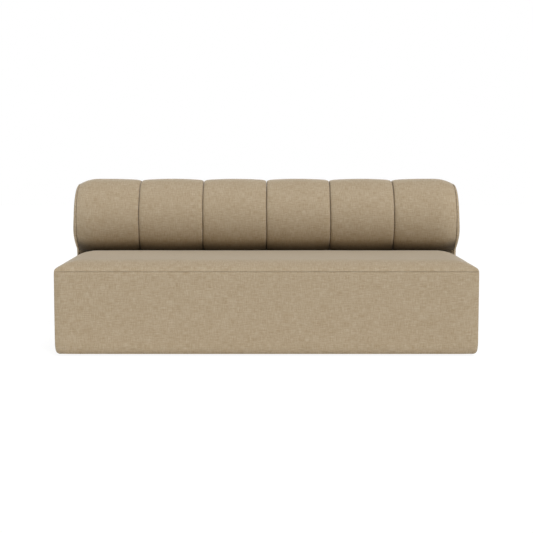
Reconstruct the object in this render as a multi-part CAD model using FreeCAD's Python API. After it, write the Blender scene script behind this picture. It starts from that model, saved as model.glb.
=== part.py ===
"""Armless sofa with a channelled bolster back, built as upholsterers build it.

A plywood and timber box carries sinuous springs, layered foam and a sewn cover. A second
upholstered frame, shaped like the letter P from the side, is bolted on its rear deck.
Millimetres, +Z up, X across the width, the front faces -Y. The origin is on the floor,
under the middle of the sofa.
"""
import FreeCAD
import Part

import math
import os

V = FreeCAD.Vector

# Overall size, over the swell of the covers
WIDTH = 2000.0
DEPTH = 980.0

# Feet
GLIDE_HEIGHT = 10.0
GLIDE_RADIUS = 20.0
GLIDE_SET_BACK = 130.0
PIN_RADIUS = 2.5
PIN_LENGTH = 28.0
PIN_COVERED = 4.0

# Cloth
COVER = 2.0
DUST_CLOTH = 1.0
FLANGE = 42.0
TUCK_DROP = 70.0

# Seat block, its four walls and its crown
SEAM_HEIGHT = 401.0
SEAM_DRAW = 7.0
UPPER_DRAW = 2.2
UPPER_ROUND = 24.0
BULGE_HEIGHT = 210.0
LOW_DRAW = 2.6
BOTTOM_ROUND = 36.0
BOTTOM_DRAW = 20.0
SHOULDER_DRAW = 15.0
SHOULDER_RISE = 16.0
CROWN_RISE = 48.0
CROWN_RUN = 120.0
CORNER_RUN = 80.0

# Seat frame
BORDER_PAD = 26.0
RAIL = 21.0
RAIL_BELOW_SEAM = 101.0
DECK_BOARD = 18.0
BEARER_WIDTH = 45.0
BEARER_HEIGHT = 70.0
BEARER_COUNT = 3
NOTCH_PLAY = 0.5
FOOT_BLOCK = 120.0
FOOT_BLOCK_HEIGHT = 45.0
CORNER_BLOCK = 45.0
LEDGE_HEIGHT = 45.0

# Springs
SPRING_COUNT = 13
SPRING_TO_SIDE = 111.0
SPRING_WIRE = 3.8
SPRING_WIDTH = 50.0
SPRING_RUNS = 26
CLIP_PLATE = 1.5
CLIP_WIDTH = 34.0
TIE_WIRE = 4.0
TIE_WIRE_COUNT = 2
TIE_WIRE_MARGIN = 60.0

# Seat padding
INSULATOR = 3.0
SEAT_TOP_LAYER = 54.0

# Screws in the seat frame
SCREW_RADIUS = 2.5
SCREW_HEAD_RADIUS = 5.0
SCREW_HEAD = 3.0
SCREW_LENGTH = 60.0
SCREWS_PER_JOINT = 3

# Back: bolster axis and radii, neck and channels
NECK_DEPTH = 287.0
AXIS_TO_REAR = 211.0
CROWN_RADIUS = 206.0
CHANNEL_SWELL = 6.5
SEAM_PULL = 7.0
SEAM_PULL_REACH = 8.0
END_SEAM_INSET = 26.0
END_CHANNEL_LESS = 5.5
END_DROP = 26.0
END_SHOULDER = 105.0
END_SHOULDER_POWER = 2.3
END_DOME = 15.0
END_DOME_ROUND = 30.0
SEAT_TO_BACK_GAP = 1.0

# Back frame
CORE_RADIUS = 165.0
CORE_BOARD = 4.0
NECK_PAD = 14.0
RIB = 18.0
END_RIB_INSET = 18.0
BASE_BOARD = 18.0
BATTEN_WIDTH = 44.0
BATTEN = 20.0
PULL_STRIP = 1.0

# Bolts that hold the back on the deck
BOLT_RADIUS = 4.0
BOLT_HOLE_PLAY = 0.5
BOLT_HEAD_ACROSS = 13.0
BOLT_HEAD = 5.3
BOLT_COUNT = 4
WASHER_RADIUS = 12.0
WASHER = 1.6
TEE_NUT_RADIUS = 11.0
TEE_NUT_FLANGE = 1.5
TEE_NUT_BARREL = 5.2
TEE_NUT_DEPTH = 10.0

# Levels and planes that follow from the sizes above
HALF_WIDTH = WIDTH / 2
HALF_DEPTH = DEPTH / 2
UNDERSIDE = GLIDE_HEIGHT + DUST_CLOTH
FRAME_FLOOR = UNDERSIDE + COVER
FRAME_X = HALF_WIDTH - COVER - BORDER_PAD
FRAME_Y = HALF_DEPTH - COVER - BORDER_PAD
INNER_X = FRAME_X - RAIL
INNER_Y = FRAME_Y - RAIL
RAIL_TOP = SEAM_HEIGHT - RAIL_BELOW_SEAM
RAIL_HEIGHT = RAIL_TOP - FRAME_FLOOR
BEARER_SPACING = 2 * INNER_X / (BEARER_COUNT + 1)
SPRING_SPACING = 2 * (INNER_X - SPRING_TO_SIDE) / (SPRING_COUNT - 1)
DECK_TOP = SEAM_HEIGHT - COVER
DECK_UNDER = DECK_TOP - DECK_BOARD
CROWN_TOP = SEAM_HEIGHT + CROWN_RISE
NECK_Y = HALF_DEPTH - NECK_DEPTH
SEAT_REAR = NECK_Y - SEAT_TO_BACK_GAP
TOP_LAYER_UNDER = CROWN_TOP - COVER - SEAT_TOP_LAYER
AXIS_Y = HALF_DEPTH - AXIS_TO_REAR
AXIS_HEIGHT = SEAM_HEIGHT + CROWN_RADIUS + SEAT_TO_BACK_GAP
END_SEAM = HALF_WIDTH - END_SEAM_INSET
END_RADIUS = CROWN_RADIUS - END_DROP
BACK_FOOT = SEAM_HEIGHT
CORE_FOOT = BACK_FOOT + COVER
CORE_NECK_Y = NECK_Y + COVER + NECK_PAD
CORE_X = END_SEAM - END_RIB_INSET
CORE_INSIDE = CORE_RADIUS - CORE_BOARD
RIB_FOOT = CORE_FOOT + BASE_BOARD
SPRING_LEVEL = RAIL_TOP + CLIP_PLATE + SPRING_WIRE / 2
SPRING_TOP = SPRING_LEVEL + SPRING_WIRE / 2
SPRING_FRONT = -FRAME_Y + RAIL / 2
SPRING_REAR = SEAT_REAR - RAIL / 2
CHANNEL_COUNT = 6
CHANNEL_PITCH = 2 * (END_SEAM + END_CHANNEL_LESS) / CHANNEL_COUNT
INNER_SEAMS = [CHANNEL_PITCH * (k - CHANNEL_COUNT / 2) for k in range(1, CHANNEL_COUNT)]
SEAMS = [-END_SEAM] + INNER_SEAMS + [END_SEAM]


def box(x0, x1, y0, y1, z0, z1):
    """Block between two corners, whichever way round each pair is given."""
    low = V(min(x0, x1), min(y0, y1), min(z0, z1))
    return Part.makeBox(abs(x1 - x0), abs(y1 - y0), abs(z1 - z0), low)


def line(a, b):
    return Part.LineSegment(a, b).toShape()


def arc(a, through, b):
    return Part.Arc(a, through, b).toShape()


def both_sides(shape):
    """A shape and its mirror image across the middle of the sofa."""
    return [shape, shape.mirror(V(0, 0, 0), V(1, 0, 0))]


def both_ends(shape):
    """A shape and its mirror image from front to rear."""
    return [shape, shape.mirror(V(0, 0, 0), V(0, 1, 0))]


def wall_and_crown(half, inset):
    """One half of the seat block's outline as arcs, from the underside to the flat crown.

    Points are (outwards, up). The wall rounds in at the bottom, swells and draws in again to
    the top seam, then the top panel rises over a shoulder and along an arc to the crown.
    """
    under = (half - BOTTOM_DRAW, UNDERSIDE + inset)
    low = (half - LOW_DRAW - inset, UNDERSIDE + BOTTOM_ROUND)
    swell = (half - inset, BULGE_HEIGHT)
    high = (half - UPPER_DRAW - inset, SEAM_HEIGHT - UPPER_ROUND)
    seam = (half - SEAM_DRAW - inset, SEAM_HEIGHT)
    shoulder = (half - SHOULDER_DRAW - inset, SEAM_HEIGHT + SHOULDER_RISE - inset)
    crown = (half - SHOULDER_DRAW - CROWN_RUN, CROWN_TOP - inset)
    return [
        (under, quarter_point(under, low), low),
        (low, swell, high),
        (high, quarter_point(seam, high), seam),
        (seam, quarter_point(shoulder, seam), shoulder),
        (shoulder, tangent_point(shoulder, crown), crown),
    ]


def quarter_point(level_end, upright_end):
    """Middle of a quarter of an ellipse that starts level at one end and ends upright."""
    share = 1 - math.sqrt(0.5)
    across = upright_end[0] - (upright_end[0] - level_end[0]) * share
    up = level_end[1] + (upright_end[1] - level_end[1]) * share
    return (across, up)


def tangent_point(start, level_end):
    """Middle of the circle's arc that leaves start and arrives level at level_end."""
    run = start[0] - level_end[0]
    rise = level_end[1] - start[1]
    radius = (run * run + rise * rise) / (2 * rise)
    half_turn = math.asin(run / radius) / 2
    across = level_end[0] + radius * math.sin(half_turn)
    up = level_end[1] - radius * (1 - math.cos(half_turn))
    return (across, up)


def crowned_prism(half, inset, place, direction):
    """The seat block's outline, mirrored about its middle and extruded along direction."""
    edges = []
    for a, through, b in wall_and_crown(half, inset):
        edges.append(arc(place(*a), place(*through), place(*b)))
        edges.append(arc(place(-a[0], a[1]), place(-through[0], through[1]), place(-b[0], b[1])))
    first = wall_and_crown(half, inset)[0][0]
    last = wall_and_crown(half, inset)[-1][2]
    edges.append(line(place(*first), place(-first[0], first[1])))
    edges.append(line(place(*last), place(-last[0], last[1])))
    wire = Part.Wire(Part.__sortEdges__(edges))
    return Part.Face(wire).extrude(direction)


def plan_prism(inset):
    """Block with the plan of the seat: its four corners are drawn in by the sewn seams."""
    corner_x = HALF_WIDTH - SEAM_DRAW - inset
    corner_y = HALF_DEPTH - SEAM_DRAW - inset
    clear = SEAM_DRAW + COVER
    edges = []
    for sx, sy in ((1, 1), (1, -1), (-1, -1), (-1, 1)):
        corner = V(sx * corner_x, sy * corner_y, 0)
        for along in (0, 1):
            run = V(sx * CORNER_RUN, 0, 0) if along else V(0, sy * CORNER_RUN, 0)
            out = V(0, sy * clear, 0) if along else V(sx * clear, 0, 0)
            end = corner - run + out
            edges.append(arc(corner, corner - run * 0.5 + out * 0.75, end))
        reach = V(corner.x, 0, 0) + V(sx * clear, 0, 0)
        edges.append(line(V(reach.x, corner.y - sy * CORNER_RUN, 0), reach))
        reach = V(0, corner.y, 0) + V(0, sy * clear, 0)
        edges.append(line(V(corner.x - sx * CORNER_RUN, reach.y, 0), reach))
    wire = Part.Wire(Part.__sortEdges__(edges))
    return Part.Face(wire).extrude(V(0, 0, CROWN_TOP + COVER))


def seat_block(inset):
    """The upholstered seat block's outside, drawn in by inset, with room for the back."""
    span = WIDTH + DEPTH
    across = crowned_prism(
        HALF_WIDTH, inset, lambda u, z: V(u, -span / 2, z), V(0, span, 0)
    )
    along = crowned_prism(
        HALF_DEPTH, inset, lambda u, z: V(-span / 2, u, z), V(span, 0, 0)
    )
    block = across.common(along).common(plan_prism(inset))
    deck = box(-span, span, SEAT_REAR - inset, span, SEAM_HEIGHT - inset, span)
    hollow = Part.makeCylinder(
        CROWN_RADIUS + SEAT_TO_BACK_GAP + inset,
        2 * span,
        V(-span, AXIS_Y, AXIS_HEIGHT),
        V(1, 0, 0),
    )
    return block.cut(deck).cut(hollow)


def mitre(points):
    """Upright wedge over a plan outline, taller than the sofa."""
    corners = [V(x, y, -WIDTH) for x, y in points]
    return Part.Face(Part.makePolygon(corners + corners[:1])).extrude(V(0, 0, 2 * WIDTH))


def seat_covers():
    """The sewn panels of the seat block, split at its top seam and at its corner seams."""
    shell = seat_block(0).cut(seat_block(COVER))
    far = WIDTH
    middle_x = HALF_WIDTH - FLANGE
    middle_y = HALF_DEPTH - FLANGE
    shell = shell.cut(box(-middle_x, middle_x, -middle_y, middle_y, 0, FRAME_FLOOR))
    deck_opening = box(
        -middle_x, middle_x, SEAT_REAR - COVER, middle_y, DECK_UNDER, SEAM_HEIGHT
    )
    shell = shell.cut(deck_opening)
    tuck = box(-INNER_X, INNER_X, SEAT_REAR - COVER, SEAT_REAR, SEAM_HEIGHT - TUCK_DROP, SEAM_HEIGHT)
    top = shell.common(box(-far, far, -far, far, SEAM_HEIGHT, far)).fuse(tuck)
    skirt = shell.common(box(-far, far, -far, far, 0, SEAM_HEIGHT))
    corner_x = HALF_WIDTH - SEAM_DRAW
    corner_y = HALF_DEPTH - SEAM_DRAW
    out = FLANGE
    back = corner_y - out
    front_wedge = mitre([
        (-corner_x - out, -corner_y - out), (corner_x + out, -corner_y - out),
        (corner_x - back, -corner_y + back), (-corner_x + back, -corner_y + back),
    ])
    side_wedge = mitre([
        (corner_x + out, -corner_y - out), (corner_x + out, corner_y + out),
        (corner_x - back, corner_y - back), (corner_x - back, -corner_y + back),
    ])
    right, left = both_sides(skirt.common(side_wedge))
    return {
        "seat_cover": top.removeSplitter(),
        "front_cover": skirt.common(front_wedge),
        "rear_cover": skirt.common(both_ends(front_wedge)[1]),
        "right_side_cover": right,
        "left_side_cover": left,
    }


def dust_cover(pins):
    """Thin black cloth stapled over the underside, pierced by the glides' pins."""
    cloth = box(-FRAME_X, FRAME_X, -FRAME_Y, FRAME_Y, GLIDE_HEIGHT, UNDERSIDE)
    return cloth.cut(pins)


def glide_places():
    """Six places for the glides, far enough in to be out of sight."""
    x = HALF_WIDTH - GLIDE_SET_BACK
    y = HALF_DEPTH - GLIDE_SET_BACK
    return [V(px, py, 0) for px in (-x, 0, x) for py in (-y, y)]


def glides_and_pins():
    """Moulded glides with a bevelled sole, each with a steel pin cast in."""
    glides = []
    pins = []
    bevel = PIN_COVERED / 2
    for place in glide_places():
        sole = Part.makeCone(GLIDE_RADIUS - bevel, GLIDE_RADIUS, bevel, place)
        disc = Part.makeCylinder(GLIDE_RADIUS, GLIDE_HEIGHT - bevel, place + V(0, 0, bevel))
        start = place + V(0, 0, PIN_COVERED)
        length = GLIDE_HEIGHT - PIN_COVERED + PIN_LENGTH
        pin = Part.makeCylinder(PIN_RADIUS, length, start)
        pins.append(pin)
        glides.append(sole.fuse(disc).removeSplitter().cut(pin))
    return Part.makeCompound(glides), Part.makeCompound(pins)


def screw(start, direction):
    """Countersunk screw whose head is flush with the face at start."""
    head = Part.makeCone(SCREW_HEAD_RADIUS, SCREW_RADIUS, SCREW_HEAD, start, direction)
    shank_start = start + direction * SCREW_HEAD
    shank = Part.makeCylinder(SCREW_RADIUS, SCREW_LENGTH - SCREW_HEAD, shank_start, direction)
    return head.fuse(shank)


def frame_screws():
    """Screws through the long rails into the side rails, and into the spring rail's ends."""
    screws = []
    side_x = FRAME_X - RAIL / 2
    for k in range(SCREWS_PER_JOINT):
        share = (k + 0.5) / SCREWS_PER_JOINT
        z = FRAME_FLOOR + RAIL_HEIGHT * share
        for x in (-side_x, side_x):
            screws.append(screw(V(x, -FRAME_Y, z), V(0, 1, 0)))
            screws.append(screw(V(x, FRAME_Y, z), V(0, -1, 0)))
        y = SEAT_REAR + RAIL / 2
        screws.append(screw(V(-FRAME_X, y, z), V(1, 0, 0)))
        screws.append(screw(V(FRAME_X, y, z), V(-1, 0, 0)))
    return Part.makeCompound(screws)


def bearers():
    """Timbers that run from the front rail to the rear rail, low in the box."""
    first = -BEARER_SPACING * (BEARER_COUNT - 1) / 2
    half = BEARER_WIDTH / 2
    top = FRAME_FLOOR + BEARER_HEIGHT
    return [
        box(x - half, x + half, -INNER_Y, INNER_Y, FRAME_FLOOR, top)
        for x in (first + BEARER_SPACING * k for k in range(BEARER_COUNT))
    ]


def bearer_notches():
    """Room for the bearers where the spring rail stands over them."""
    return [
        box(
            b.BoundBox.XMin - NOTCH_PLAY, b.BoundBox.XMax + NOTCH_PLAY,
            SEAT_REAR, SEAT_REAR + RAIL,
            FRAME_FLOOR, b.BoundBox.ZMax + NOTCH_PLAY,
        )
        for b in bearers()
    ]


def side_rail():
    """Right side rail: low beside the springs, and up to the deck board behind them."""
    outline = [
        V(INNER_X, -INNER_Y, FRAME_FLOOR), V(INNER_X, INNER_Y, FRAME_FLOOR),
        V(INNER_X, INNER_Y, DECK_UNDER), V(INNER_X, SEAT_REAR, DECK_UNDER),
        V(INNER_X, SEAT_REAR, RAIL_TOP), V(INNER_X, -INNER_Y, RAIL_TOP),
    ]
    return Part.Face(Part.makePolygon(outline + outline[:1])).extrude(V(RAIL, 0, 0))


def foot_blocks():
    """Blocks in the four bottom corners that the glides' pins are driven into."""
    block = box(
        INNER_X - FOOT_BLOCK, INNER_X, INNER_Y - FOOT_BLOCK, INNER_Y,
        FRAME_FLOOR, FRAME_FLOOR + FOOT_BLOCK_HEIGHT,
    )
    return [s for b in both_ends(block) for s in both_sides(b)]


def corner_blocks():
    """Glue blocks that stiffen the upright corners, taller where they meet the deck."""
    foot_top = FRAME_FLOOR + FOOT_BLOCK_HEIGHT
    x = INNER_X - CORNER_BLOCK
    y = INNER_Y - CORNER_BLOCK
    rear = box(x, INNER_X, y, INNER_Y, foot_top, DECK_UNDER)
    front = box(x, INNER_X, -INNER_Y, -y, foot_top, RAIL_TOP)
    return both_sides(rear) + both_sides(front)


def seat_frame(pins, screws, bolt_holes):
    """The plywood box with its bearers, blocks, spring rail and rear deck."""
    front = box(-FRAME_X, FRAME_X, -FRAME_Y, -INNER_Y, FRAME_FLOOR, RAIL_TOP)
    rear = box(-FRAME_X, FRAME_X, INNER_Y, FRAME_Y, FRAME_FLOOR, DECK_UNDER)
    right, left = both_sides(side_rail())
    spring_rail = box(-INNER_X, INNER_X, SEAT_REAR, SEAT_REAR + RAIL, FRAME_FLOOR, DECK_UNDER)
    for notch in bearer_notches():
        spring_rail = spring_rail.cut(notch)
    ledge = box(
        -INNER_X, INNER_X, SEAT_REAR - RAIL, SEAT_REAR, RAIL_TOP - LEDGE_HEIGHT, RAIL_TOP
    )
    deck = box(-FRAME_X, FRAME_X, SEAT_REAR, FRAME_Y, DECK_UNDER, DECK_TOP)
    return {
        "front_rail": front.cut(screws),
        "rear_rail": rear.cut(screws),
        "right_side_rail": right.cut(screws),
        "left_side_rail": left.cut(screws),
        "spring_rail": spring_rail.cut(screws),
        "spring_ledge": ledge,
        "deck_board": deck.cut(bolt_holes),
        "cross_bearers": Part.makeCompound([b.cut(pins) for b in bearers()]),
        "foot_blocks": Part.makeCompound([b.cut(pins) for b in foot_blocks()]),
        "corner_blocks": Part.makeCompound([b.cut(screws) for b in corner_blocks()]),
    }


def spring_rows():
    """Places of the springs across the seat."""
    first = -SPRING_SPACING * (SPRING_COUNT - 1) / 2
    return [first + SPRING_SPACING * k for k in range(SPRING_COUNT)]


def sinuous_spring():
    """One zigzag spring: straight runs across the seat, joined by half turns."""
    pitch = (SPRING_REAR - SPRING_FRONT) / (SPRING_RUNS - 1)
    turn = pitch / 2
    reach = SPRING_WIDTH / 2 - turn
    edges = []
    for k in range(SPRING_RUNS):
        y = SPRING_FRONT + pitch * k
        side = 1 if k % 2 == 0 else -1
        start = V(-side * reach, y, SPRING_LEVEL)
        end = V(side * reach, y, SPRING_LEVEL)
        edges.append(line(start, end))
        if k < SPRING_RUNS - 1:
            bend = turn * math.sqrt(0.5)
            tip = V(side * (reach + turn), y + turn, SPRING_LEVEL)
            first = V(side * (reach + bend), y + turn - bend, SPRING_LEVEL)
            second = V(side * (reach + bend), y + turn + bend, SPRING_LEVEL)
            edges.append(arc(end, first, tip))
            edges.append(arc(tip, second, V(side * reach, y + pitch, SPRING_LEVEL)))
    path = Part.Wire(edges)
    start = V(-reach, SPRING_FRONT, SPRING_LEVEL)
    section = Part.Wire(Part.makeCircle(SPRING_WIRE / 2, start, V(1, 0, 0)))
    return path.makePipeShell([section], True, False)


def spring_clip(y, mouth):
    """Bent plate that holds a spring's end run. Its mouth opens towards mouth, +1 or -1."""
    length = RAIL - 2 * CLIP_PLATE
    inside = SPRING_WIRE
    low = RAIL_TOP
    points = [
        (-length / 2, low), (length / 2, low), (length / 2, low + CLIP_PLATE),
        (-length / 2 + CLIP_PLATE, low + CLIP_PLATE),
        (-length / 2 + CLIP_PLATE, low + CLIP_PLATE + inside),
        (length / 2, low + CLIP_PLATE + inside), (length / 2, low + 2 * CLIP_PLATE + inside),
        (-length / 2, low + 2 * CLIP_PLATE + inside),
    ]
    corners = [V(-CLIP_WIDTH / 2, y + mouth * u, z) for u, z in points]
    plate = Part.Face(Part.makePolygon(corners + corners[:1]))
    return plate.extrude(V(CLIP_WIDTH, 0, 0))


def spring_parts():
    """Springs, the clips at their ends and the wires that tie them together."""
    springs = []
    clips = []
    spring = sinuous_spring()
    ends = [spring_clip(SPRING_FRONT, 1), spring_clip(SPRING_REAR, -1)]
    for x in spring_rows():
        springs.append(spring.translated(V(x, 0, 0)))
        clips.extend(c.translated(V(x, 0, 0)) for c in ends)
    reach = spring_rows()[-1] + TIE_WIRE_MARGIN
    level = SPRING_LEVEL - SPRING_WIRE / 2 - TIE_WIRE / 2
    span = SPRING_REAR - SPRING_FRONT
    ties = []
    for k in range(TIE_WIRE_COUNT):
        y = SPRING_FRONT + span * (k + 1) / (TIE_WIRE_COUNT + 1)
        ties.append(Part.makeCylinder(TIE_WIRE / 2, 2 * reach, V(-reach, y, level), V(1, 0, 0)))
    return {
        "seat_springs": Part.makeCompound(springs),
        "spring_clips": Part.makeCompound(clips),
        "spring_tie_wires": Part.makeCompound(ties),
    }


def seat_padding():
    """Felt over the springs, a firm foam core, a crowned soft layer and border foams."""
    inside = seat_block(COVER)
    far = WIDTH
    rear = SEAT_REAR - COVER
    core_under = SPRING_TOP + INSULATOR
    felt = box(
        -INNER_X, INNER_X, -INNER_Y, SEAT_REAR - RAIL, SPRING_TOP, core_under
    )
    core = box(-FRAME_X, FRAME_X, -FRAME_Y, rear, core_under, TOP_LAYER_UNDER)
    top = inside.common(box(-far, far, -far, rear, TOP_LAYER_UNDER, far))
    front = inside.common(box(-far, far, -far, -FRAME_Y, 0, TOP_LAYER_UNDER))
    back = inside.common(box(-far, far, FRAME_Y, far, 0, far))
    beside_seat = box(FRAME_X, far, -FRAME_Y, rear, 0, TOP_LAYER_UNDER)
    beside_deck = box(FRAME_X, far, rear, FRAME_Y, 0, far)
    right, left = both_sides(inside.common(beside_seat.fuse(beside_deck)).removeSplitter())
    return {
        "spring_insulator": felt,
        "seat_foam_core": core,
        "seat_foam_top": top,
        "front_border_foam": front,
        "rear_border_foam": back,
        "right_border_foam": right,
        "left_border_foam": left,
    }


def roll_radius(x):
    """Radius of the bolster's outside at x.

    Between two seams the cloth swells as a shallow parabola, and next to a seam it is
    pulled in, fading away exponentially. Towards an end it falls over a rounded shoulder.
    """
    at = abs(x)
    channel = sum(1 for s in SEAMS if s <= at) - 1
    if at >= END_SEAM:
        return END_RADIUS
    inner, outer = SEAMS[channel], SEAMS[channel + 1]
    nearest = min(at - inner, outer - at)
    if outer == END_SEAM and outer - at < END_SHOULDER:
        share = 1 - (outer - at) / END_SHOULDER
        return CROWN_RADIUS - END_DROP * share ** END_SHOULDER_POWER
    half = (outer - inner) / 2
    swell = CHANNEL_SWELL * (1 - nearest / half) ** 2
    if outer == END_SEAM and at > inner + half:
        swell = 0
    return CROWN_RADIUS - swell - SEAM_PULL * math.exp(-nearest / SEAM_PULL_REACH)


def channel_stations(left, right):
    """Places along a channel where its section is drawn, closer together near its seams."""
    half = (right - left) / 2
    steps = [0, SEAM_PULL_REACH, 3 * SEAM_PULL_REACH, END_SHOULDER / 2, END_SHOULDER]
    marks = [left + s for s in steps] + [left + half] + [right - s for s in reversed(steps)]
    return marks


def around(x, radius, start, stop):
    """Arcs about the bolster's axis from angle start to stop, none over a quarter turn."""
    count = max(1, math.ceil((stop - start) / 90.0 - 1e-6))

    def at(angle):
        turn = math.radians(angle)
        return V(x, AXIS_Y + radius * math.cos(turn), AXIS_HEIGHT + radius * math.sin(turn))

    step = (stop - start) / count
    marks = [start + step * k for k in range(count + 1)]
    return [arc(at(a), at((a + b) / 2), at(b)) for a, b in zip(marks, marks[1:])]


def neck_angle(radius, neck):
    """Angle on the circle of that radius where the upright neck front meets it."""
    return 360.0 - math.degrees(math.acos((neck - AXIS_Y) / radius))


def profile_points(x, radius, neck, foot):
    """Corners of the back's side outline: neck foot, neck top, rear top and rear foot."""
    drop = math.sqrt(radius ** 2 - (AXIS_Y - neck) ** 2)
    return (
        V(x, neck, foot),
        V(x, neck, AXIS_HEIGHT - drop),
        V(x, AXIS_Y + radius, AXIS_HEIGHT),
        V(x, AXIS_Y + radius, foot),
    )


def back_outline(x, radius, neck, foot):
    """Closed side outline of the back: straight neck, round front and top, straight rear."""
    neck_foot, neck_top, rear_top, rear_foot = profile_points(x, radius, neck, foot)
    edges = [line(neck_foot, neck_top), line(rear_top, rear_foot), line(rear_foot, neck_foot)]
    edges += around(x, radius, 0, neck_angle(radius, neck))
    return Part.Wire(Part.__sortEdges__(edges))


def band_outline(x, radius, neck, inner_radius, inner_neck, foot, inner_foot, flange):
    """Closed outline of a layer round the back, open at its foot or with a flange there."""
    foot_o, top_o, rear_o, end_o = profile_points(x, radius, neck, foot)
    foot_i, top_i, rear_i, end_i = profile_points(x, inner_radius, inner_neck, inner_foot)
    edges = [line(foot_o, top_o), line(rear_o, end_o), line(foot_i, top_i), line(rear_i, end_i)]
    edges += around(x, radius, 0, neck_angle(radius, neck))
    edges += around(x, inner_radius, 0, neck_angle(inner_radius, inner_neck))
    if flange:
        for outer, inner, way in ((foot_o, foot_i, 1), (end_o, end_i, -1)):
            low = outer + V(0, way * flange, 0)
            high = V(x, low.y, inner_foot)
            edges += [line(outer, low), line(low, high), line(high, inner)]
    else:
        edges += [line(foot_o, foot_i), line(end_o, end_i)]
    return Part.Wire(Part.__sortEdges__(edges))


def cover_outline(x):
    """Section of a channel's cloth, turned in under the back's foot."""
    radius = roll_radius(x)
    return band_outline(
        x, radius, NECK_Y, radius - COVER, NECK_Y + COVER, BACK_FOOT, CORE_FOOT, FLANGE
    )


def foam_outline(x):
    """Section of a channel's foam, between the cloth and the hard core."""
    return band_outline(
        x, roll_radius(x) - COVER, NECK_Y + COVER, CORE_RADIUS, CORE_NECK_Y,
        CORE_FOOT, CORE_FOOT, 0,
    )


def loft(wires):
    return Part.makeLoft(wires, True, False)


def channels():
    """Cloth and foam of the six channels, numbered from the left."""
    made = {}
    slit = PULL_STRIP / 2
    for k in range(CHANNEL_COUNT):
        left, right = SEAMS[k], SEAMS[k + 1]
        marks = channel_stations(left, right)
        made[f"back_channel_cover_{k + 1}"] = loft([cover_outline(x) for x in marks])
        low = max(left + slit, -CORE_X)
        high = min(right - slit, CORE_X)
        inside = [low] + [x for x in marks if low < x < high] + [high]
        made[f"back_foam_{k + 1}"] = loft([foam_outline(x) for x in inside])
    return made


def pull_strips():
    """Strips sewn to the five seams, which draw the cloth down to the hard core."""
    strips = []
    for x in SEAMS[1:-1]:
        outline = foam_outline(x - PULL_STRIP / 2)
        strips.append(Part.Face(outline).extrude(V(PULL_STRIP, 0, 0)))
    return Part.makeCompound(strips)


def dome_outlines(inset):
    """Side outlines of the right end panel, from its seam to its flat middle.

    The panel leaves the seam along a quarter of an ellipse.
    """
    height = END_DOME - inset
    round_in = END_DOME_ROUND - inset
    wires = []
    for share in (0, 0.4, 0.7, 0.9, 1):
        shrink = round_in * (1 - math.sqrt(1 - share ** 2))
        wires.append(back_outline(
            END_SEAM + height * share,
            END_RADIUS - inset - shrink,
            NECK_Y + inset + shrink,
            BACK_FOOT + inset,
        ))
    return wires


def end_panels():
    """Domed end covers and the foam pads behind them."""
    inner = loft(dome_outlines(COVER))
    cover = loft(dome_outlines(0)).cut(inner)
    marks = [CORE_X, (CORE_X + END_SEAM) / 2, END_SEAM]
    under_cloth = loft([
        back_outline(x, roll_radius(x) - COVER, NECK_Y + COVER, CORE_FOOT) for x in marks
    ])
    right_cover, left_cover = both_sides(cover)
    right_foam, left_foam = both_sides(under_cloth.fuse(inner))
    return {
        "back_end_cover_right": right_cover,
        "back_end_cover_left": left_cover,
        "back_end_foam_right": right_foam,
        "back_end_foam_left": left_foam,
    }


def batten_blocks(low, high):
    """Blocks along the top, front and rear of the hard core, from radius low to high."""
    half = BATTEN_WIDTH / 2
    lengths = (-CORE_X, CORE_X)
    return [
        box(*lengths, AXIS_Y - half, AXIS_Y + half, AXIS_HEIGHT + low, AXIS_HEIGHT + high),
        box(*lengths, AXIS_Y - high, AXIS_Y - low, AXIS_HEIGHT - half, AXIS_HEIGHT + half),
        box(*lengths, AXIS_Y + low, AXIS_Y + high, AXIS_HEIGHT - half, AXIS_HEIGHT + half),
    ]


def batten_seat():
    """Distance from the axis to a batten's outer face, whose edges touch the bent board."""
    return math.sqrt(CORE_INSIDE ** 2 - (BATTEN_WIDTH / 2) ** 2)


def battens():
    """Three like timbers that run from end to end under the hard core."""
    return batten_blocks(batten_seat() - BATTEN, batten_seat())


def ribs():
    """Seven plywood formers, one under each seam, notched for the battens."""
    places = [-CORE_X + RIB / 2] + SEAMS[1:-1] + [CORE_X - RIB / 2]
    made = {}
    for k, x in enumerate(places):
        outline = back_outline(x - RIB / 2, CORE_INSIDE, CORE_NECK_Y + CORE_BOARD, RIB_FOOT)
        rib = Part.Face(outline).extrude(V(RIB, 0, 0))
        for notch in batten_blocks(batten_seat() - BATTEN, CORE_RADIUS):
            rib = rib.cut(notch)
        made[f"back_rib_{k + 1}"] = rib
    return made


def core_boards():
    """Boards over the ribs: flat at the neck and the rear, and bent round the bolster."""
    x = -CORE_X
    outer_points = profile_points(x, CORE_RADIUS, CORE_NECK_Y, CORE_FOOT)
    inner_neck = CORE_NECK_Y + CORE_BOARD
    inner_points = profile_points(x, CORE_INSIDE, inner_neck, CORE_FOOT)
    length = V(2 * CORE_X, 0, 0)
    edges = [line(outer_points[1], inner_points[1]), line(outer_points[2], inner_points[2])]
    edges += around(x, CORE_RADIUS, 0, neck_angle(CORE_RADIUS, CORE_NECK_Y))
    edges += around(x, CORE_INSIDE, 0, neck_angle(CORE_INSIDE, inner_neck))
    bent = Part.Face(Part.Wire(Part.__sortEdges__(edges))).extrude(length)
    corners = [outer_points[0], outer_points[1], inner_points[1], inner_points[0]]
    neck = Part.Face(Part.makePolygon(corners + corners[:1])).extrude(length)
    rear = box(
        -CORE_X, CORE_X, AXIS_Y + CORE_INSIDE, AXIS_Y + CORE_RADIUS, CORE_FOOT, AXIS_HEIGHT
    )
    return {"roll_core_board": bent, "neck_board": neck, "back_rear_panel": rear}


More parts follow.
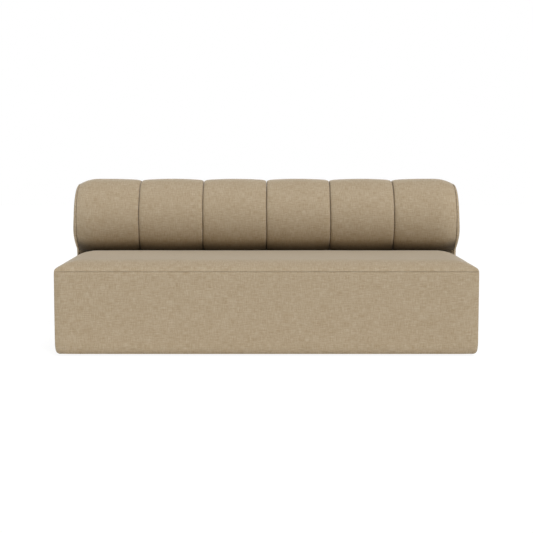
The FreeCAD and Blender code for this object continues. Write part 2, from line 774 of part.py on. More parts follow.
def bolt_places():
    """Bolts stand midway between ribs and midway along the base board's depth."""
    first = -CHANNEL_PITCH * (BOLT_COUNT - 1) / 2
    middle = (CORE_NECK_Y + CORE_BOARD + AXIS_Y + CORE_INSIDE) / 2
    return [(first + CHANNEL_PITCH * k, middle) for k in range(BOLT_COUNT)]


def hexagon(centre, across, height):
    """Upright six-sided bar."""
    radius = across / math.sqrt(3)
    corners = [
        centre + V(radius * math.cos(math.radians(a)), radius * math.sin(math.radians(a)), 0)
        for a in range(0, 420, 60)
    ]
    return Part.Face(Part.makePolygon(corners)).extrude(V(0, 0, height))


def back_bolts():
    """Bolts with washers under the deck board, and the tee nuts they screw into."""
    bolts = []
    washers = []
    nuts = []
    seat = DECK_UNDER - WASHER
    top = RIB_FOOT + TEE_NUT_FLANGE
    for x, y in bolt_places():
        head = hexagon(V(x, y, seat - BOLT_HEAD), BOLT_HEAD_ACROSS, BOLT_HEAD)
        shank = Part.makeCylinder(BOLT_RADIUS, top - seat, V(x, y, seat))
        bolts.append(head.fuse(shank))
        washer = Part.makeCylinder(WASHER_RADIUS, WASHER, V(x, y, seat))
        washers.append(washer.cut(shank))
        flange = Part.makeCylinder(TEE_NUT_RADIUS, TEE_NUT_FLANGE, V(x, y, RIB_FOOT))
        barrel = Part.makeCylinder(TEE_NUT_BARREL, TEE_NUT_DEPTH, V(x, y, RIB_FOOT - TEE_NUT_DEPTH))
        nuts.append(flange.fuse(barrel).cut(shank))
    return {
        "back_bolts": Part.makeCompound(bolts + washers),
        "tee_nuts": Part.makeCompound(nuts),
    }


def bolt_holes():
    """Clearance for the bolts through the deck board and the back's base board."""
    radius = BOLT_RADIUS + BOLT_HOLE_PLAY
    return Part.makeCompound([
        Part.makeCylinder(radius, RIB_FOOT - DECK_UNDER, V(x, y, DECK_UNDER))
        for x, y in bolt_places()
    ])


def back_base_board(holes, nuts):
    """Board under the ribs, which the tee nuts are let into."""
    front = CORE_NECK_Y + CORE_BOARD
    board = box(-CORE_X, CORE_X, front, AXIS_Y + CORE_INSIDE, CORE_FOOT, RIB_FOOT)
    return board.cut(holes).cut(nuts)


def sofa():
    """Every piece of the sofa under its name."""
    glides, pins = glides_and_pins()
    screws = frame_screws()
    holes = bolt_holes()
    nodes = {"glides": glides, "glide_pins": pins, "frame_screws": screws}
    nodes.update(seat_frame(pins, screws, holes))
    nodes.update(spring_parts())
    nodes.update(seat_padding())
    nodes.update(seat_covers())
    nodes["dust_cover"] = dust_cover(pins)
    nodes.update(back_bolts())
    nodes["back_base_board"] = back_base_board(holes, nodes["tee_nuts"])
    nodes.update(ribs())
    nodes.update(core_boards())
    nodes["roll_battens"] = Part.makeCompound(battens())
    nodes["channel_pull_strips"] = pull_strips()
    nodes.update(channels())
    nodes.update(end_panels())
    return nodes


os.makedirs("parts", exist_ok=True)
for name, shape in sofa().items():
    shape.exportStep(f"parts/{name}.step")
    size = shape.BoundBox
    print(
        f"{name}: {len(shape.Solids)} solids, {shape.Volume / 1e6:.3f} litres, "
        f"valid {shape.isValid()}, x {size.XMin:.1f} to {size.XMax:.1f}, "
        f"y {size.YMin:.1f} to {size.YMax:.1f}, z {size.ZMin:.1f} to {size.ZMax:.1f}"
    )
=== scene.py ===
"""Armless sofa with a channelled bolster back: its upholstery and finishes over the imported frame.

Lengths are metres in the frame of the CAD: X across the width, the front faces -Y, +Z up,
and the origin is on the floor under the middle of the sofa.
"""

import math

import bpy
import numpy as np
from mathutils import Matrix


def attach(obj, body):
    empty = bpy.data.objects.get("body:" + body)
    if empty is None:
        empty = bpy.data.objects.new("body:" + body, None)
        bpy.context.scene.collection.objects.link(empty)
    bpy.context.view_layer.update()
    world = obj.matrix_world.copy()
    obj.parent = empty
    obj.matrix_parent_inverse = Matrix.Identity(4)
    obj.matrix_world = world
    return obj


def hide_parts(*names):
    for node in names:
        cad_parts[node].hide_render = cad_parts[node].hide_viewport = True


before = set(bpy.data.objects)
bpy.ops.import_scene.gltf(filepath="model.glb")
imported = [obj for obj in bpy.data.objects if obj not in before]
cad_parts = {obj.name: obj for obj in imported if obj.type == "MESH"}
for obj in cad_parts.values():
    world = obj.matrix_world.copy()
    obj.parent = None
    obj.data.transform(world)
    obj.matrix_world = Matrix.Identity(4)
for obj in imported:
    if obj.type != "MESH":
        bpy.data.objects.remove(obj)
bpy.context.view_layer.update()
bpy.context.scene.view_settings.view_transform = "Standard"

MM = 0.001

# The seat block, as the CAD has it
HALF_WIDTH = 1000 * MM
HALF_DEPTH = 490 * MM
UNDERSIDE = 11 * MM
COVER = 2 * MM
FLANGE = 42 * MM
SEAM_HEIGHT = 401 * MM
SEAM_DRAW = 7 * MM
UPPER_DRAW = 2.2 * MM
UPPER_ROUND = 24 * MM
BULGE_HEIGHT = 210 * MM
LOW_DRAW = 2.6 * MM
BOTTOM_ROUND = 39 * MM
BOTTOM_DRAW = 20 * MM
CORNER_FOOT_DRAW = 6 * MM
SHOULDER_DRAW = 15 * MM
CROWN_TOP = 449 * MM
CROWN_RUN = 120 * MM
SHOULDER_HEIGHT = 417 * MM
CORNER_RUN = 80 * MM
FRAME_SET_BACK = 28 * MM
SEAT_REAR = 202 * MM
TOP_LAYER_UNDER = 393 * MM
TUCK_FOOT = 331 * MM
INNER_X = 951 * MM
DECK_TOP = 399 * MM

# The back
AXIS_Y = 279 * MM
AXIS_HEIGHT = 608 * MM
CROWN_RADIUS = 206 * MM
CHANNEL_SWELL = 6.5 * MM
SEAM_PULL = 7 * MM
SEAM_PULL_REACH = 8 * MM
END_SEAM = 974 * MM
END_DROP = 26 * MM
END_SHOULDER = 105 * MM
END_SHOULDER_POWER = 2.3
END_RADIUS = 180 * MM
END_DOME = 15 * MM
END_DOME_ROUND = 30 * MM
NECK_Y = 203 * MM
BACK_FOOT = 401 * MM
CORE_RADIUS = 165 * MM
CORE_NECK_Y = 219 * MM
CORE_FOOT = 403 * MM
CORE_X = 956 * MM
END_SWELL = 5 * MM
END_SWELL_HEIGHT = 535 * MM
END_LIFT = 444 * MM
SEAMS = np.array([-974, -653, -326.5, 0, 326.5, 653, 974]) * MM

STRIP_RADIUS = 183 * MM
STRIP_WIDTH = 20 * MM

# Springs, felt, foam core and dust cloth
SPRING_SPACING = 140 * MM
SPRING_HALF = 25 * MM
FELT_TOP = 308.3 * MM
FELT_FRONT = -440 * MM
FELT_REAR = 180 * MM
CORE_UNDER = 308.3 * MM
CORE_FRONT = -461.6 * MM
CORE_REAR = 198.8 * MM
DUST_X = 971 * MM
DUST_Y = 461 * MM
TIMBERS_X = np.array([-955, -475.5, 0, 475.5, 955]) * MM
TIMBERS_Y = np.array([-445, 212.5, 445]) * MM

# How the cloth lies, which the CAD leaves out
PLAY = 0.4 * MM
SEAM_GAP = 0.8 * MM
SEAM_ROUND = 5 * MM
PANEL_SEAM_ROUND = 3.2 * MM
SEAM_FOLD = 0.35 * MM
SEAM_WANDER = 0.9 * MM
WALL_UNEVENNESS = 0.35 * MM
TOP_UNEVENNESS = 0.5 * MM
GRID = 9 * MM
BESIDE_SEAM = np.array([0, 0.25, 0.7, 1.3, 2.1, 3.1, 4.5, 6.5, 9, 12.5, 17, 23, 31]) * MM


# Meshes

def stations(length, step=GRID):
    """Distances across a panel: a fixed fine series in from both seams, about step between."""
    near = BESIDE_SEAM[BESIDE_SEAM < length / 2 - step]
    count = max(3, int(round((length - 2 * near[-1]) / step)))
    middle = np.linspace(near[-1], length - near[-1], count)[1:-1]
    return np.concatenate([near, middle, length - near[::-1]])


def sheet_faces(rows, columns, closed=False, start=0):
    """Four-cornered faces of a grid stored row by row. Closed joins the last column to the first."""
    i = np.arange(rows - 1)[:, None] * columns
    j = np.arange(columns if closed else columns - 1)[None, :]
    k = (j + 1) % columns
    corners = [i + j, i + k, i + columns + k, i + columns + j]
    return np.stack(np.broadcast_arrays(*corners), axis=-1).reshape(-1, 4) + start


def rim_faces(rows, columns):
    """Faces that join the border of one grid to the border of a like grid stored after it."""
    top = np.arange(columns)
    right = np.arange(1, rows) * columns + columns - 1
    bottom = (rows - 1) * columns + np.arange(columns - 2, -1, -1)
    left = np.arange(rows - 2, -1, -1) * columns
    loop = np.concatenate([top, right, bottom, left])
    a, b, shift = loop[:-1], loop[1:], rows * columns
    return np.stack([a, b, b + shift, a + shift], axis=-1)


def build(name, points, faces, cloth_uv=None):
    """A smooth piece from points and groups of like-sided faces, turned to face outwards.

    The volume is a sum over the fans of all faces, each the product of three corner vectors,
    and a negative one turns every face round.
    """
    volume = 0.0
    for group in faces:
        first = points[group[:, 0]]
        for k in range(1, group.shape[1] - 1):
            cross = np.cross(points[group[:, k]], points[group[:, k + 1]])
            volume += float((first * cross).sum())
    if volume < 0:
        faces = [group[:, ::-1] for group in faces]
    corners = np.concatenate([group.ravel() for group in faces])
    sides = np.concatenate([np.full(len(group), group.shape[1]) for group in faces])
    mesh = bpy.data.meshes.new(name)
    mesh.vertices.add(len(points))
    mesh.vertices.foreach_set("co", points.astype(np.float32).ravel())
    mesh.loops.add(len(corners))
    mesh.loops.foreach_set("vertex_index", corners.astype(np.int32))
    mesh.polygons.add(len(sides))
    mesh.polygons.foreach_set("loop_start", (np.cumsum(sides) - sides).astype(np.int32))
    mesh.update(calc_edges=True)
    mesh.validate()
    mesh.shade_smooth()
    mesh.set_sharp_from_angle(angle=math.radians(50))
    if cloth_uv is not None:
        layer = mesh.uv_layers.new(name="cloth")
        layer.data.foreach_set("uv", cloth_uv[corners].astype(np.float32).ravel())
    piece = bpy.data.objects.new(name, mesh)
    bpy.context.scene.collection.objects.link(piece)
    return piece


def pad(name, outer, inner, cloth_uv):
    """A closed pad: an outer and an inner surface on like grids, joined along their borders."""
    return pads(name, [(outer, inner)], cloth_uv)


def pads(name, pairs, cloth_uv):
    """Several closed pads on like grids as one piece."""
    rows, columns = pairs[0][0].shape[:2]
    size = rows * columns
    one = np.concatenate([
        sheet_faces(rows, columns),
        sheet_faces(rows, columns, start=size)[:, ::-1],
        rim_faces(rows, columns)[:, ::-1],
    ])
    starts = 2 * size * np.arange(len(pairs))
    faces = (one[None] + starts[:, None, None]).reshape(-1, 4)
    points = np.concatenate([side.reshape(-1, 3) for pair in pairs for side in pair])
    uv = np.tile(cloth_uv.reshape(-1, 2), (2 * len(pairs), 1))
    return build(name, points, [faces], uv)


def lathe_like(name, rings, centres, ring_uv):
    """A closed piece from a stack of like closed rings, its two ends closed by fans to centres."""
    count, size = rings.shape[:2]
    points = np.concatenate([rings.reshape(-1, 3), np.array(centres)])
    last = (count - 1) * size
    i = np.arange(size)
    k = (i + 1) % size
    start_fan = np.stack([np.full(size, count * size), k, i], axis=-1)
    end_fan = np.stack([np.full(size, count * size + 1), last + i, last + k], axis=-1)
    uv = np.concatenate([ring_uv.reshape(-1, 2), ring_uv[0].mean(0)[None], ring_uv[-1].mean(0)[None]])
    return build(name, points, [sheet_faces(count, size, closed=True), start_fan, end_fan], uv)


def ripple(u, v, lengths, seed):
    """Soft unevenness from -1 to 1: a mean of waves of the given lengths, turned at random."""
    dice = np.random.default_rng(seed)
    total = 0.0
    for length in lengths:
        turn = dice.uniform(0, math.pi)
        start = dice.uniform(0, 2 * math.pi)
        total = total + np.sin(
            2 * math.pi * (u * math.cos(turn) + v * math.sin(turn)) / length + start
        )
    return total / len(lengths)


def seam_round(distance, radius):
    """How far cloth has rolled in beside a seam: a quarter circle's drop, gone at its radius."""
    reach = np.clip(radius - distance, 0, radius)
    return radius - np.sqrt(radius ** 2 - reach ** 2)


def larger(a, b, blend):
    """The larger of two values, with the step between them rounded over the blend width."""
    near = np.clip(blend - np.abs(a - b), 0, None)
    return np.maximum(a, b) + near ** 2 / (4 * blend)


# Seat block

def wall_inset(z):
    """How far a wall stands in from the widest plane at height z.

    A quarter ellipse rounds the bottom, two parabolas leave the bulge, and a flatter quarter
    ellipse draws the cloth in to the top seam.
    """
    low = np.clip((UNDERSIDE + BOTTOM_ROUND - z) / BOTTOM_ROUND, 0, 1)
    high = np.clip((z - SEAM_HEIGHT + UPPER_ROUND) / UPPER_ROUND, 0, 1)
    below = np.clip((BULGE_HEIGHT - z) / (BULGE_HEIGHT - UNDERSIDE - BOTTOM_ROUND), 0, 1)
    above = np.clip((z - BULGE_HEIGHT) / (SEAM_HEIGHT - UPPER_ROUND - BULGE_HEIGHT), 0, 1)
    inset = LOW_DRAW * below ** 2 + UPPER_DRAW * above ** 2
    inset = inset + (BOTTOM_DRAW - LOW_DRAW) * (1 - np.sqrt(1 - low ** 2))
    return inset + (SEAM_DRAW - UPPER_DRAW) * (1 - np.sqrt(1 - high ** 2))


def wall_heights():
    """Heights down a wall: fine below the top seam, even beside the bulge, by angle below."""
    top = SEAM_HEIGHT - SEAM_GAP - BESIDE_SEAM
    turn = np.linspace(0, math.pi / 2, 9)
    bottom = UNDERSIDE + BOTTOM_ROUND * (1 - np.sin(turn))
    count = int(round((top[-1] - bottom[0]) / GRID))
    return np.concatenate([top, np.linspace(top[-1], bottom[0], count)[1:-1], bottom])


def wall_panel(name, half_run, place, breaks, deck_from, seed):
    """One upholstered wall of the seat block with its foam, turned in above and below.

    Points are first (along the wall, inset from its widest plane, up). Each row of heights
    gives an inset, the corner seams draw it in along a parabola, and place puts the point
    into the sofa. Where the deck board lies behind the wall, the cloth turns in over it.
    """
    heights = wall_heights()
    rows = len(heights)
    foot_draw = CORNER_FOOT_DRAW * np.clip(1 - (heights - UNDERSIDE) / (60 * MM), 0, 1) ** 2
    edge_inset = larger(wall_inset(heights), SEAM_DRAW, 3 * MM) + foot_draw
    share = stations(2 * (half_run - SEAM_DRAW)) / (half_run - SEAM_DRAW) - 1
    for at in breaks:
        beside = np.array([at - MM, at + MM]) / (half_run - SEAM_DRAW)
        share = np.unique(np.concatenate([share, beside]))
    columns = len(share)
    along = share[None, :] * (half_run - edge_inset - PLAY)[:, None]
    from_edge = (half_run - edge_inset - PLAY)[:, None] - np.abs(along)
    corner = np.clip(1 - from_edge / CORNER_RUN, 0, 1) ** 2
    drawn = SEAM_DRAW * corner - 2 * MM * (1 - corner)
    inset = larger(wall_inset(heights)[:, None] + 0 * along, drawn, 3 * MM)
    inset = inset + foot_draw[:, None] * corner
    inset = inset + seam_round(from_edge, PANEL_SEAM_ROUND)
    calm = 1 - np.exp(-np.minimum(from_edge, (SEAM_HEIGHT - heights)[:, None]) / (25 * MM))
    z = heights[:, None] + 0 * along
    inset = inset - WALL_UNEVENNESS * ripple(along, z, (0.31, 0.19, 0.46, 0.13), seed) * calm
    tight = np.exp(-(SEAM_HEIGHT - z) / (9 * MM))
    inset = inset + 0.2 * MM * ripple(along, 0 * z, (0.033, 0.051, 0.083), seed + 1) * tight
    wall = np.stack([along, inset, z], axis=-1)

    on_deck = (along[0] > deck_from[0]) & (along[0] < deck_from[1])
    turned_in = np.where(on_deck, FLANGE, FRAME_SET_BACK)
    over = np.array([1.0, 0.7, 0.4, 0.15])[:, None]
    top_inset = SEAM_DRAW + (turned_in - SEAM_DRAW)[None, :] * over
    drop = np.where(on_deck, 0, SEAM_HEIGHT - TOP_LAYER_UNDER + PLAY)[None, :] * over
    top = np.stack([
        share[None, :] * (half_run - top_inset - PLAY), top_inset, SEAM_HEIGHT - SEAM_GAP - drop,
    ], axis=-1)
    under_inset = np.array([BOTTOM_DRAW + 4 * MM, FLANGE])[:, None] + 0 * share[None, :]
    under = np.stack([
        share[None, :] * (half_run - under_inset - PLAY), under_inset,
        UNDERSIDE + 0.1 * MM + 0 * under_inset,
    ], axis=-1)
    outer = np.concatenate([top, wall, under])

    back = np.clip(outer[..., 1], FRAME_SET_BACK + PLAY, None)
    back[4:4 + rows] = FRAME_SET_BACK + PLAY
    foot = UNDERSIDE + COVER - PLAY
    roof = np.where(on_deck, DECK_TOP + PLAY, TOP_LAYER_UNDER - 2 * MM)[None, :]
    level = np.clip(outer[..., 2], foot, roof)
    level[0] = roof[0]
    level[:4] = roof
    inner = np.stack([share[None, :] * (half_run - back - PLAY), back, level], axis=-1)

    steps = np.linalg.norm(np.diff(outer[:, columns // 2], axis=0), axis=-1)
    down = np.concatenate([[0], np.cumsum(steps)])
    uv = np.stack(np.broadcast_arrays(outer[..., 0], down[:, None]), axis=-1)
    return pad(name, place(outer), place(inner), uv)


def in_front(p):
    """Puts points of a wall, as along, inset and up, on the front of the seat block."""
    return np.stack([p[..., 0], -HALF_DEPTH + p[..., 1], p[..., 2]], axis=-1)


def at_rear(p):
    """Puts the points of a wall on the rear."""
    return np.stack([p[..., 0], HALF_DEPTH - p[..., 1], p[..., 2]], axis=-1)


def on_right(p):
    """Puts the points of a wall on the right side."""
    return np.stack([HALF_WIDTH - p[..., 1], p[..., 0], p[..., 2]], axis=-1)


def on_left(p):
    """Puts the points of a wall on the left side."""
    return np.stack([-HALF_WIDTH + p[..., 1], p[..., 0], p[..., 2]], axis=-1)


def crown_height(inset):
    """Height of the top panel at a distance in from the widest plane.

    An arc that is level at the crown falls towards the edge, and over the last of the run a
    quarter ellipse turns down to meet the seam upright.
    """
    rise = CROWN_TOP - SHOULDER_HEIGHT
    radius = (CROWN_RUN ** 2 + rise ** 2) / (2 * rise)
    from_crown = np.clip(SHOULDER_DRAW + CROWN_RUN - inset, 0, CROWN_RUN + SHOULDER_DRAW)
    arc = CROWN_TOP - radius + np.sqrt(radius ** 2 - from_crown ** 2)
    at_seam = SHOULDER_DRAW + CROWN_RUN - SEAM_DRAW
    fall = CROWN_TOP - radius + math.sqrt(radius ** 2 - at_seam ** 2) - SEAM_HEIGHT
    turn = np.clip((SHOULDER_DRAW - inset) / (SHOULDER_DRAW - SEAM_DRAW), 0, 1)
    return arc - fall * (1 - np.sqrt(1 - turn ** 2))


def seat_top():
    """The crowned top panel on its soft layer, with the flap that is tucked down behind it.

    The height is the lower of the crowns across and along the seat, rounded where they meet,
    and never above the hollow under the bolster, an arc about the bolster's axis.
    """
    across = stations(2 * (HALF_WIDTH - SEAM_DRAW)) - (HALF_WIDTH - SEAM_DRAW)
    front = -HALF_DEPTH + SEAM_DRAW
    run = stations(2 * (SEAT_REAR - front))
    deep = front + run[run <= SEAT_REAR - front - 30 * MM]
    hollow = np.linspace(deep[-1], SEAT_REAR - PLAY, 18)[1:]
    y = np.concatenate([deep, hollow])[:, None]
    x = across[None, :] + 0 * y
    y = y + 0 * x
    side = crown_height(HALF_WIDTH - np.abs(x)) - SEAM_HEIGHT
    ahead = crown_height(HALF_DEPTH + y) - SEAM_HEIGHT
    lower = np.minimum(side, ahead)
    crown = CROWN_TOP - SEAM_HEIGHT
    blend = 14 * MM * (1 - (lower / crown) ** 2) + 0.01 * MM
    height = -larger(-side, -ahead, blend) * (lower > 0)
    edge = np.minimum(HALF_WIDTH - SEAM_DRAW - np.abs(x), y - front)
    calm = 1 - np.exp(-edge / (40 * MM))
    height = height + TOP_UNEVENNESS * calm * ripple(x, y, (0.42, 0.27, 0.61, 0.18), 11)
    from_axis = np.clip(np.abs(y - AXIS_Y), 0, CROWN_RADIUS)
    hollow_radius = CROWN_RADIUS + 1 * MM
    hollow = AXIS_HEIGHT - np.sqrt(hollow_radius ** 2 - from_axis ** 2) - SEAM_HEIGHT
    height = -larger(-height, -hollow, 5 * MM)
    z = SEAM_HEIGHT + SEAM_GAP + np.clip(height, 0, None)
    top = np.stack([x, y, z], axis=-1)

    down = np.array([0.35, 0.7, 1.0])[:, None]
    start = z[-1][None, :]
    narrow = np.where(down > 0.3, INNER_X - 2 * MM, HALF_WIDTH) / (HALF_WIDTH - SEAM_DRAW)
    flap = np.stack([
        across[None, :] * narrow,
        np.full((3, len(across)), SEAT_REAR - PLAY),
        start + (TUCK_FOOT - start) * down,
    ], axis=-1)
    outer = np.concatenate([top, flap])

    in_x = (HALF_WIDTH - FRAME_SET_BACK) / (HALF_WIDTH - SEAM_DRAW)
    in_y = np.clip(y, -HALF_DEPTH + FRAME_SET_BACK, SEAT_REAR - COVER - PLAY)
    under = np.stack([x * in_x, in_y, np.full_like(x, TOP_LAYER_UNDER + PLAY)], axis=-1)
    flap_back = flap.copy()
    flap_back[..., 1] = SEAT_REAR - COVER - PLAY
    flap_back[0, :, 2] = TOP_LAYER_UNDER - 2 * MM
    inner = np.concatenate([under, flap_back])
    steps = np.linalg.norm(np.diff(outer[:, len(across) // 2], axis=0), axis=-1)
    length = np.concatenate([[0], np.cumsum(steps)])
    uv = np.stack(np.broadcast_arrays(outer[..., 0], length[:, None]), axis=-1)
    return pad("seat_top", outer, inner, uv)


# Back

def roll_radius(x, left, right):
    """Radius of the bolster at x in the channel between two seams.

    The cloth swells as a shallow parabola and is pulled in at a seam, fading exponentially.
    The outer half of an end channel falls over a rounded shoulder, a power of the distance.
    """
    nearest = np.minimum(x - left, right - x)
    half = (right - left) / 2
    swell = CHANNEL_SWELL * (1 - nearest / half) ** 2
    inside = CROWN_RADIUS - swell - SEAM_PULL * np.exp(-nearest / SEAM_PULL_REACH)
    from_end = END_SEAM - np.abs(x)
    fall = np.clip(1 - from_end / END_SHOULDER, 0, 1) ** END_SHOULDER_POWER
    at_end = (from_end < half) & (max(abs(left), abs(right)) > END_SEAM - MM)
    return np.where(at_end, CROWN_RADIUS - END_DROP * fall, inside)


def back_path(radius, neck, foot, turned_in, rear_turned_in, lift=0.0):
    """Side outline of a layer round the back, from its front foot up and over to its rear foot.

    It runs along the turned-in edge, up the straight neck, round the bolster's circle by
    angle, down the straight rear and along the other turned-in edge. The bolster's underside
    stays above the lift. All are whole arrays over radius, whose last axis is the path.
    """
    radius = np.asarray(radius)[..., None]
    lift = np.asarray(lift)[..., None]
    rear = AXIS_Y + radius
    joint = larger(AXIS_HEIGHT - np.sqrt(radius ** 2 - (AXIS_Y - neck) ** 2), lift, 6 * MM)
    meet = 2 * math.pi - np.arccos((neck - AXIS_Y) / radius)
    share = np.array([0, 0.5, 0.93])
    front_edge = [neck + (turned_in - neck) * (1 - share) + 0 * radius, foot + 0 * share + 0 * radius]
    up = np.array([0.02, 0.2, 0.45, 0.7])
    neck_part = [neck + 0 * up + 0 * radius, foot + (joint - foot) * up]
    angle = meet * (1 - np.linspace(0, 1, 110))
    round_part = [
        AXIS_Y + radius * np.cos(angle),
        larger(AXIS_HEIGHT + radius * np.sin(angle), lift, 6 * MM),
    ]
    down = np.concatenate([np.linspace(0, 0.97, 22)[1:], [0.985, 0.995]])
    rear_part = [rear + 0 * down, AXIS_HEIGHT + (foot - AXIS_HEIGHT) * down + 0 * radius]
    share = np.array([0.07, 0.5, 1])
    rear_edge = [rear + (rear_turned_in - rear) * share, foot + 0 * share + 0 * radius]
    parts = [front_edge, neck_part, round_part, rear_part, rear_edge]
    outline = [np.concatenate([part[k] for part in parts], axis=-1) for k in (0, 1)]
    return outline[0], outline[1]


def path_length():
    """Distance along the back's outline at its mean radius, which the weave follows."""
    y, z = back_path(200 * MM, NECK_Y, BACK_FOOT, NECK_Y + FLANGE, AXIS_Y + 0.2 - FLANGE)
    return np.concatenate([[0], np.cumsum(np.hypot(np.diff(y), np.diff(z)))])


def channel(k):
    """One channel of the bolster: cloth and foam from seam to seam over the hard core.

    The radius comes from roll_radius, less a quarter circle where the cloth rolls into the
    seam. Each seam wanders a little, and short folds along it fade with distance.
    """
    left, right = SEAMS[k], SEAMS[k + 1]
    across = left + SEAM_GAP + stations(right - left - 2 * SEAM_GAP)
    length = path_length()
    v = length[None, :]
    x = across[:, None]
    from_left = x - left - SEAM_GAP
    from_right = right - SEAM_GAP - x
    radius = roll_radius(across, left, right)
    lift = END_LIFT - 60 * MM * np.clip((END_SEAM - np.abs(across)) / (60 * MM) - 1.4, 0, 1)
    y, z = back_path(
        radius, NECK_Y, BACK_FOOT, NECK_Y + FLANGE, AXIS_Y + CROWN_RADIUS - FLANGE, lift,
    )
    sink = 0.0
    wander = 0.0
    for distance, seam in ((from_left, k), (from_right, k + 1)):
        at_end = seam in (0, len(SEAMS) - 1)
        sink = sink + seam_round(distance, PANEL_SEAM_ROUND if at_end else SEAM_ROUND)
        folds = ripple(0 * v, v, (0.029, 0.043, 0.067), 40 + 7 * seam + k)
        sink = sink + SEAM_FOLD * folds * np.exp(-distance / (10 * MM))
        sway = ripple(0 * v, v, (0.11, 0.17, 0.31), 70 + seam)
        wander = wander + (0 if at_end else SEAM_WANDER) * sway * np.exp(-distance / (35 * MM))
    calm = 1 - np.exp(-np.minimum(from_left, from_right) / (25 * MM))
    sink = sink - TOP_UNEVENNESS * calm * ripple(x, v, (0.23, 0.37, 0.17, 0.51), 90 + k)
    from_flange = np.minimum(v, length[-1] - v) - FLANGE
    free = np.clip(from_flange / (20 * MM), 0, 1)
    normal_y, normal_z = path_normals(y, z)
    outer = np.stack([
        x + wander * free, y - normal_y * sink * free, z - normal_z * sink * free,
    ], axis=-1)
    core_y, core_z = back_path(
        np.full(len(across), CORE_RADIUS + PLAY), CORE_NECK_Y - PLAY, CORE_FOOT - PLAY,
        NECK_Y + FLANGE, AXIS_Y + CROWN_RADIUS - FLANGE,
    )
    inner = np.stack([x + 0 * core_y, core_y, core_z], axis=-1)
    uv = np.stack(np.broadcast_arrays(x, v), axis=-1)
    return pad(f"back_channel_{k + 1}", outer, inner, uv)


def path_normals(y, z):
    """Outward directions along outlines: each one's tangent turned a quarter round."""
    dy = np.gradient(y, axis=-1)
    dz = np.gradient(z, axis=-1)
    size = np.hypot(dy, dz)
    return -dz / size, dy / size


def end_ring(x, radius, neck, foot):
    """Closed side outline of the back at one place across the width."""
    y, z = back_path(radius, neck, foot, neck + FLANGE, AXIS_Y + radius - FLANGE)
    return np.stack([np.full_like(y, x), y, z], axis=-1)


def back_end(side):
    """Domed end panel on its pad, with a plug of foam that reaches in to the end of the core.

    From the seam the panel leaves along a quarter ellipse and then crowns gently towards its
    middle. Its back is flat against the end channel.
    """
    centre_y, centre_z = AXIS_Y + 35 * MM, AXIS_HEIGHT - 45 * MM
    rings = [
        end_ring(CORE_X + PLAY, CORE_RADIUS - PLAY, CORE_NECK_Y + PLAY, CORE_FOOT + PLAY),
        end_ring(END_SEAM + PLAY, CORE_RADIUS - PLAY, CORE_NECK_Y + PLAY, CORE_FOOT + PLAY),
    ]
    turn = np.array([0, 3, 7, 12, 18, 26, 36, 48, 60, 72, 82, 90])
    for angle in np.radians(turn):
        shrink = END_DOME_ROUND * (1 - math.cos(angle))
        height = END_DOME * math.sin(angle)
        rolled = float(seam_round(np.array(height), 2 * MM))
        ring = end_ring(
            END_SEAM + PLAY + height,
            END_RADIUS - shrink - rolled, NECK_Y + shrink + rolled, BACK_FOOT + rolled,
        )
        swell = np.exp(-((ring[:, 2] - END_SWELL_HEIGHT) / (65 * MM)) ** 2)
        ring[:, 0] += END_SWELL * swell * math.sin(angle)
        rings.append(ring)
    edge = rings[-1]
    centre = np.array([0, centre_y, centre_z])
    for share in (0.12, 0.28, 0.46, 0.64, 0.82):
        ring = edge + (centre - edge) * share
        ring[:, 0] = edge[:, 0] + 2 * MM * math.sin(share * math.pi / 2)
        rings.append(ring)
    rings = np.array(rings)
    centres = np.array([
        [CORE_X + PLAY, centre_y, centre_z],
        [rings[-1, 0, 0] + 0.05 * MM, centre_y, centre_z],
    ])
    uv = rings[..., 1:]
    name = "left" if side < 0 else "right"
    return lathe_like(f"back_end_{name}", rings * (side, 1, 1), centres * (side, 1, 1), uv)


# Soft pieces inside and underneath

def pull_strips():
    """Tapes sewn into the five seams, which hold the cloth down to the hard core.

    Each is the band between two outlines of the back, its outer edge out of sight in the seam.
    """
    outlines = [
        back_path(radius, neck, foot, neck + 5 * MM, AXIS_Y + radius - 5 * MM)
        for radius, neck, foot in (
            (CORE_RADIUS + PLAY, CORE_NECK_Y - PLAY, CORE_FOOT),
            (STRIP_RADIUS, NECK_Y + 8 * MM, CORE_FOOT),
        )
    ]
    share = np.linspace(0, 1, 5)[:, None]
    y, z = [inner + (outer - inner) * share for inner, outer in zip(*outlines)]
    pairs = [
        tuple(np.stack([np.full_like(y, x + side * 0.35 * MM), y, z], axis=-1) for side in (-1, 1))
        for x in SEAMS[1:-1]
    ]
    uv = np.stack(np.broadcast_arrays(path_length()[None, :], STRIP_WIDTH * share), axis=-1)
    return pads("channel_tapes", pairs, uv)


def felt_sheet():
    """Felt over the springs. Between two springs it sags as the square of a sine."""
    x = np.linspace(-1, 1, 191)[None, :] * (INNER_X - 2 * MM)
    y = np.linspace(FELT_FRONT, FELT_REAR, 64)[:, None]
    x, y = np.broadcast_arrays(x, y)
    edge_x = np.abs(x) / (INNER_X - 2 * MM)
    x = x + 1.5 * MM * ripple(0 * x, y, (0.07, 0.13, 0.29), 5) * edge_x ** 8
    from_spring = np.abs((x / SPRING_SPACING + 0.5) % 1 - 0.5) * SPRING_SPACING
    gap = np.clip((from_spring - SPRING_HALF) / (SPRING_SPACING / 2 - SPRING_HALF), 0, 1)
    sag = 1.6 * MM * np.sin(gap * math.pi / 2) ** 2
    sag = sag + 0.3 * MM * (1 + ripple(x, y, (0.05, 0.08, 0.12), 6)) * gap
    top = np.stack([x, y, FELT_TOP - PLAY - sag], axis=-1)
    under = top - np.array([0, 0, 2.6 * MM])
    return pad("spring_felt", top, under, top[..., :2])


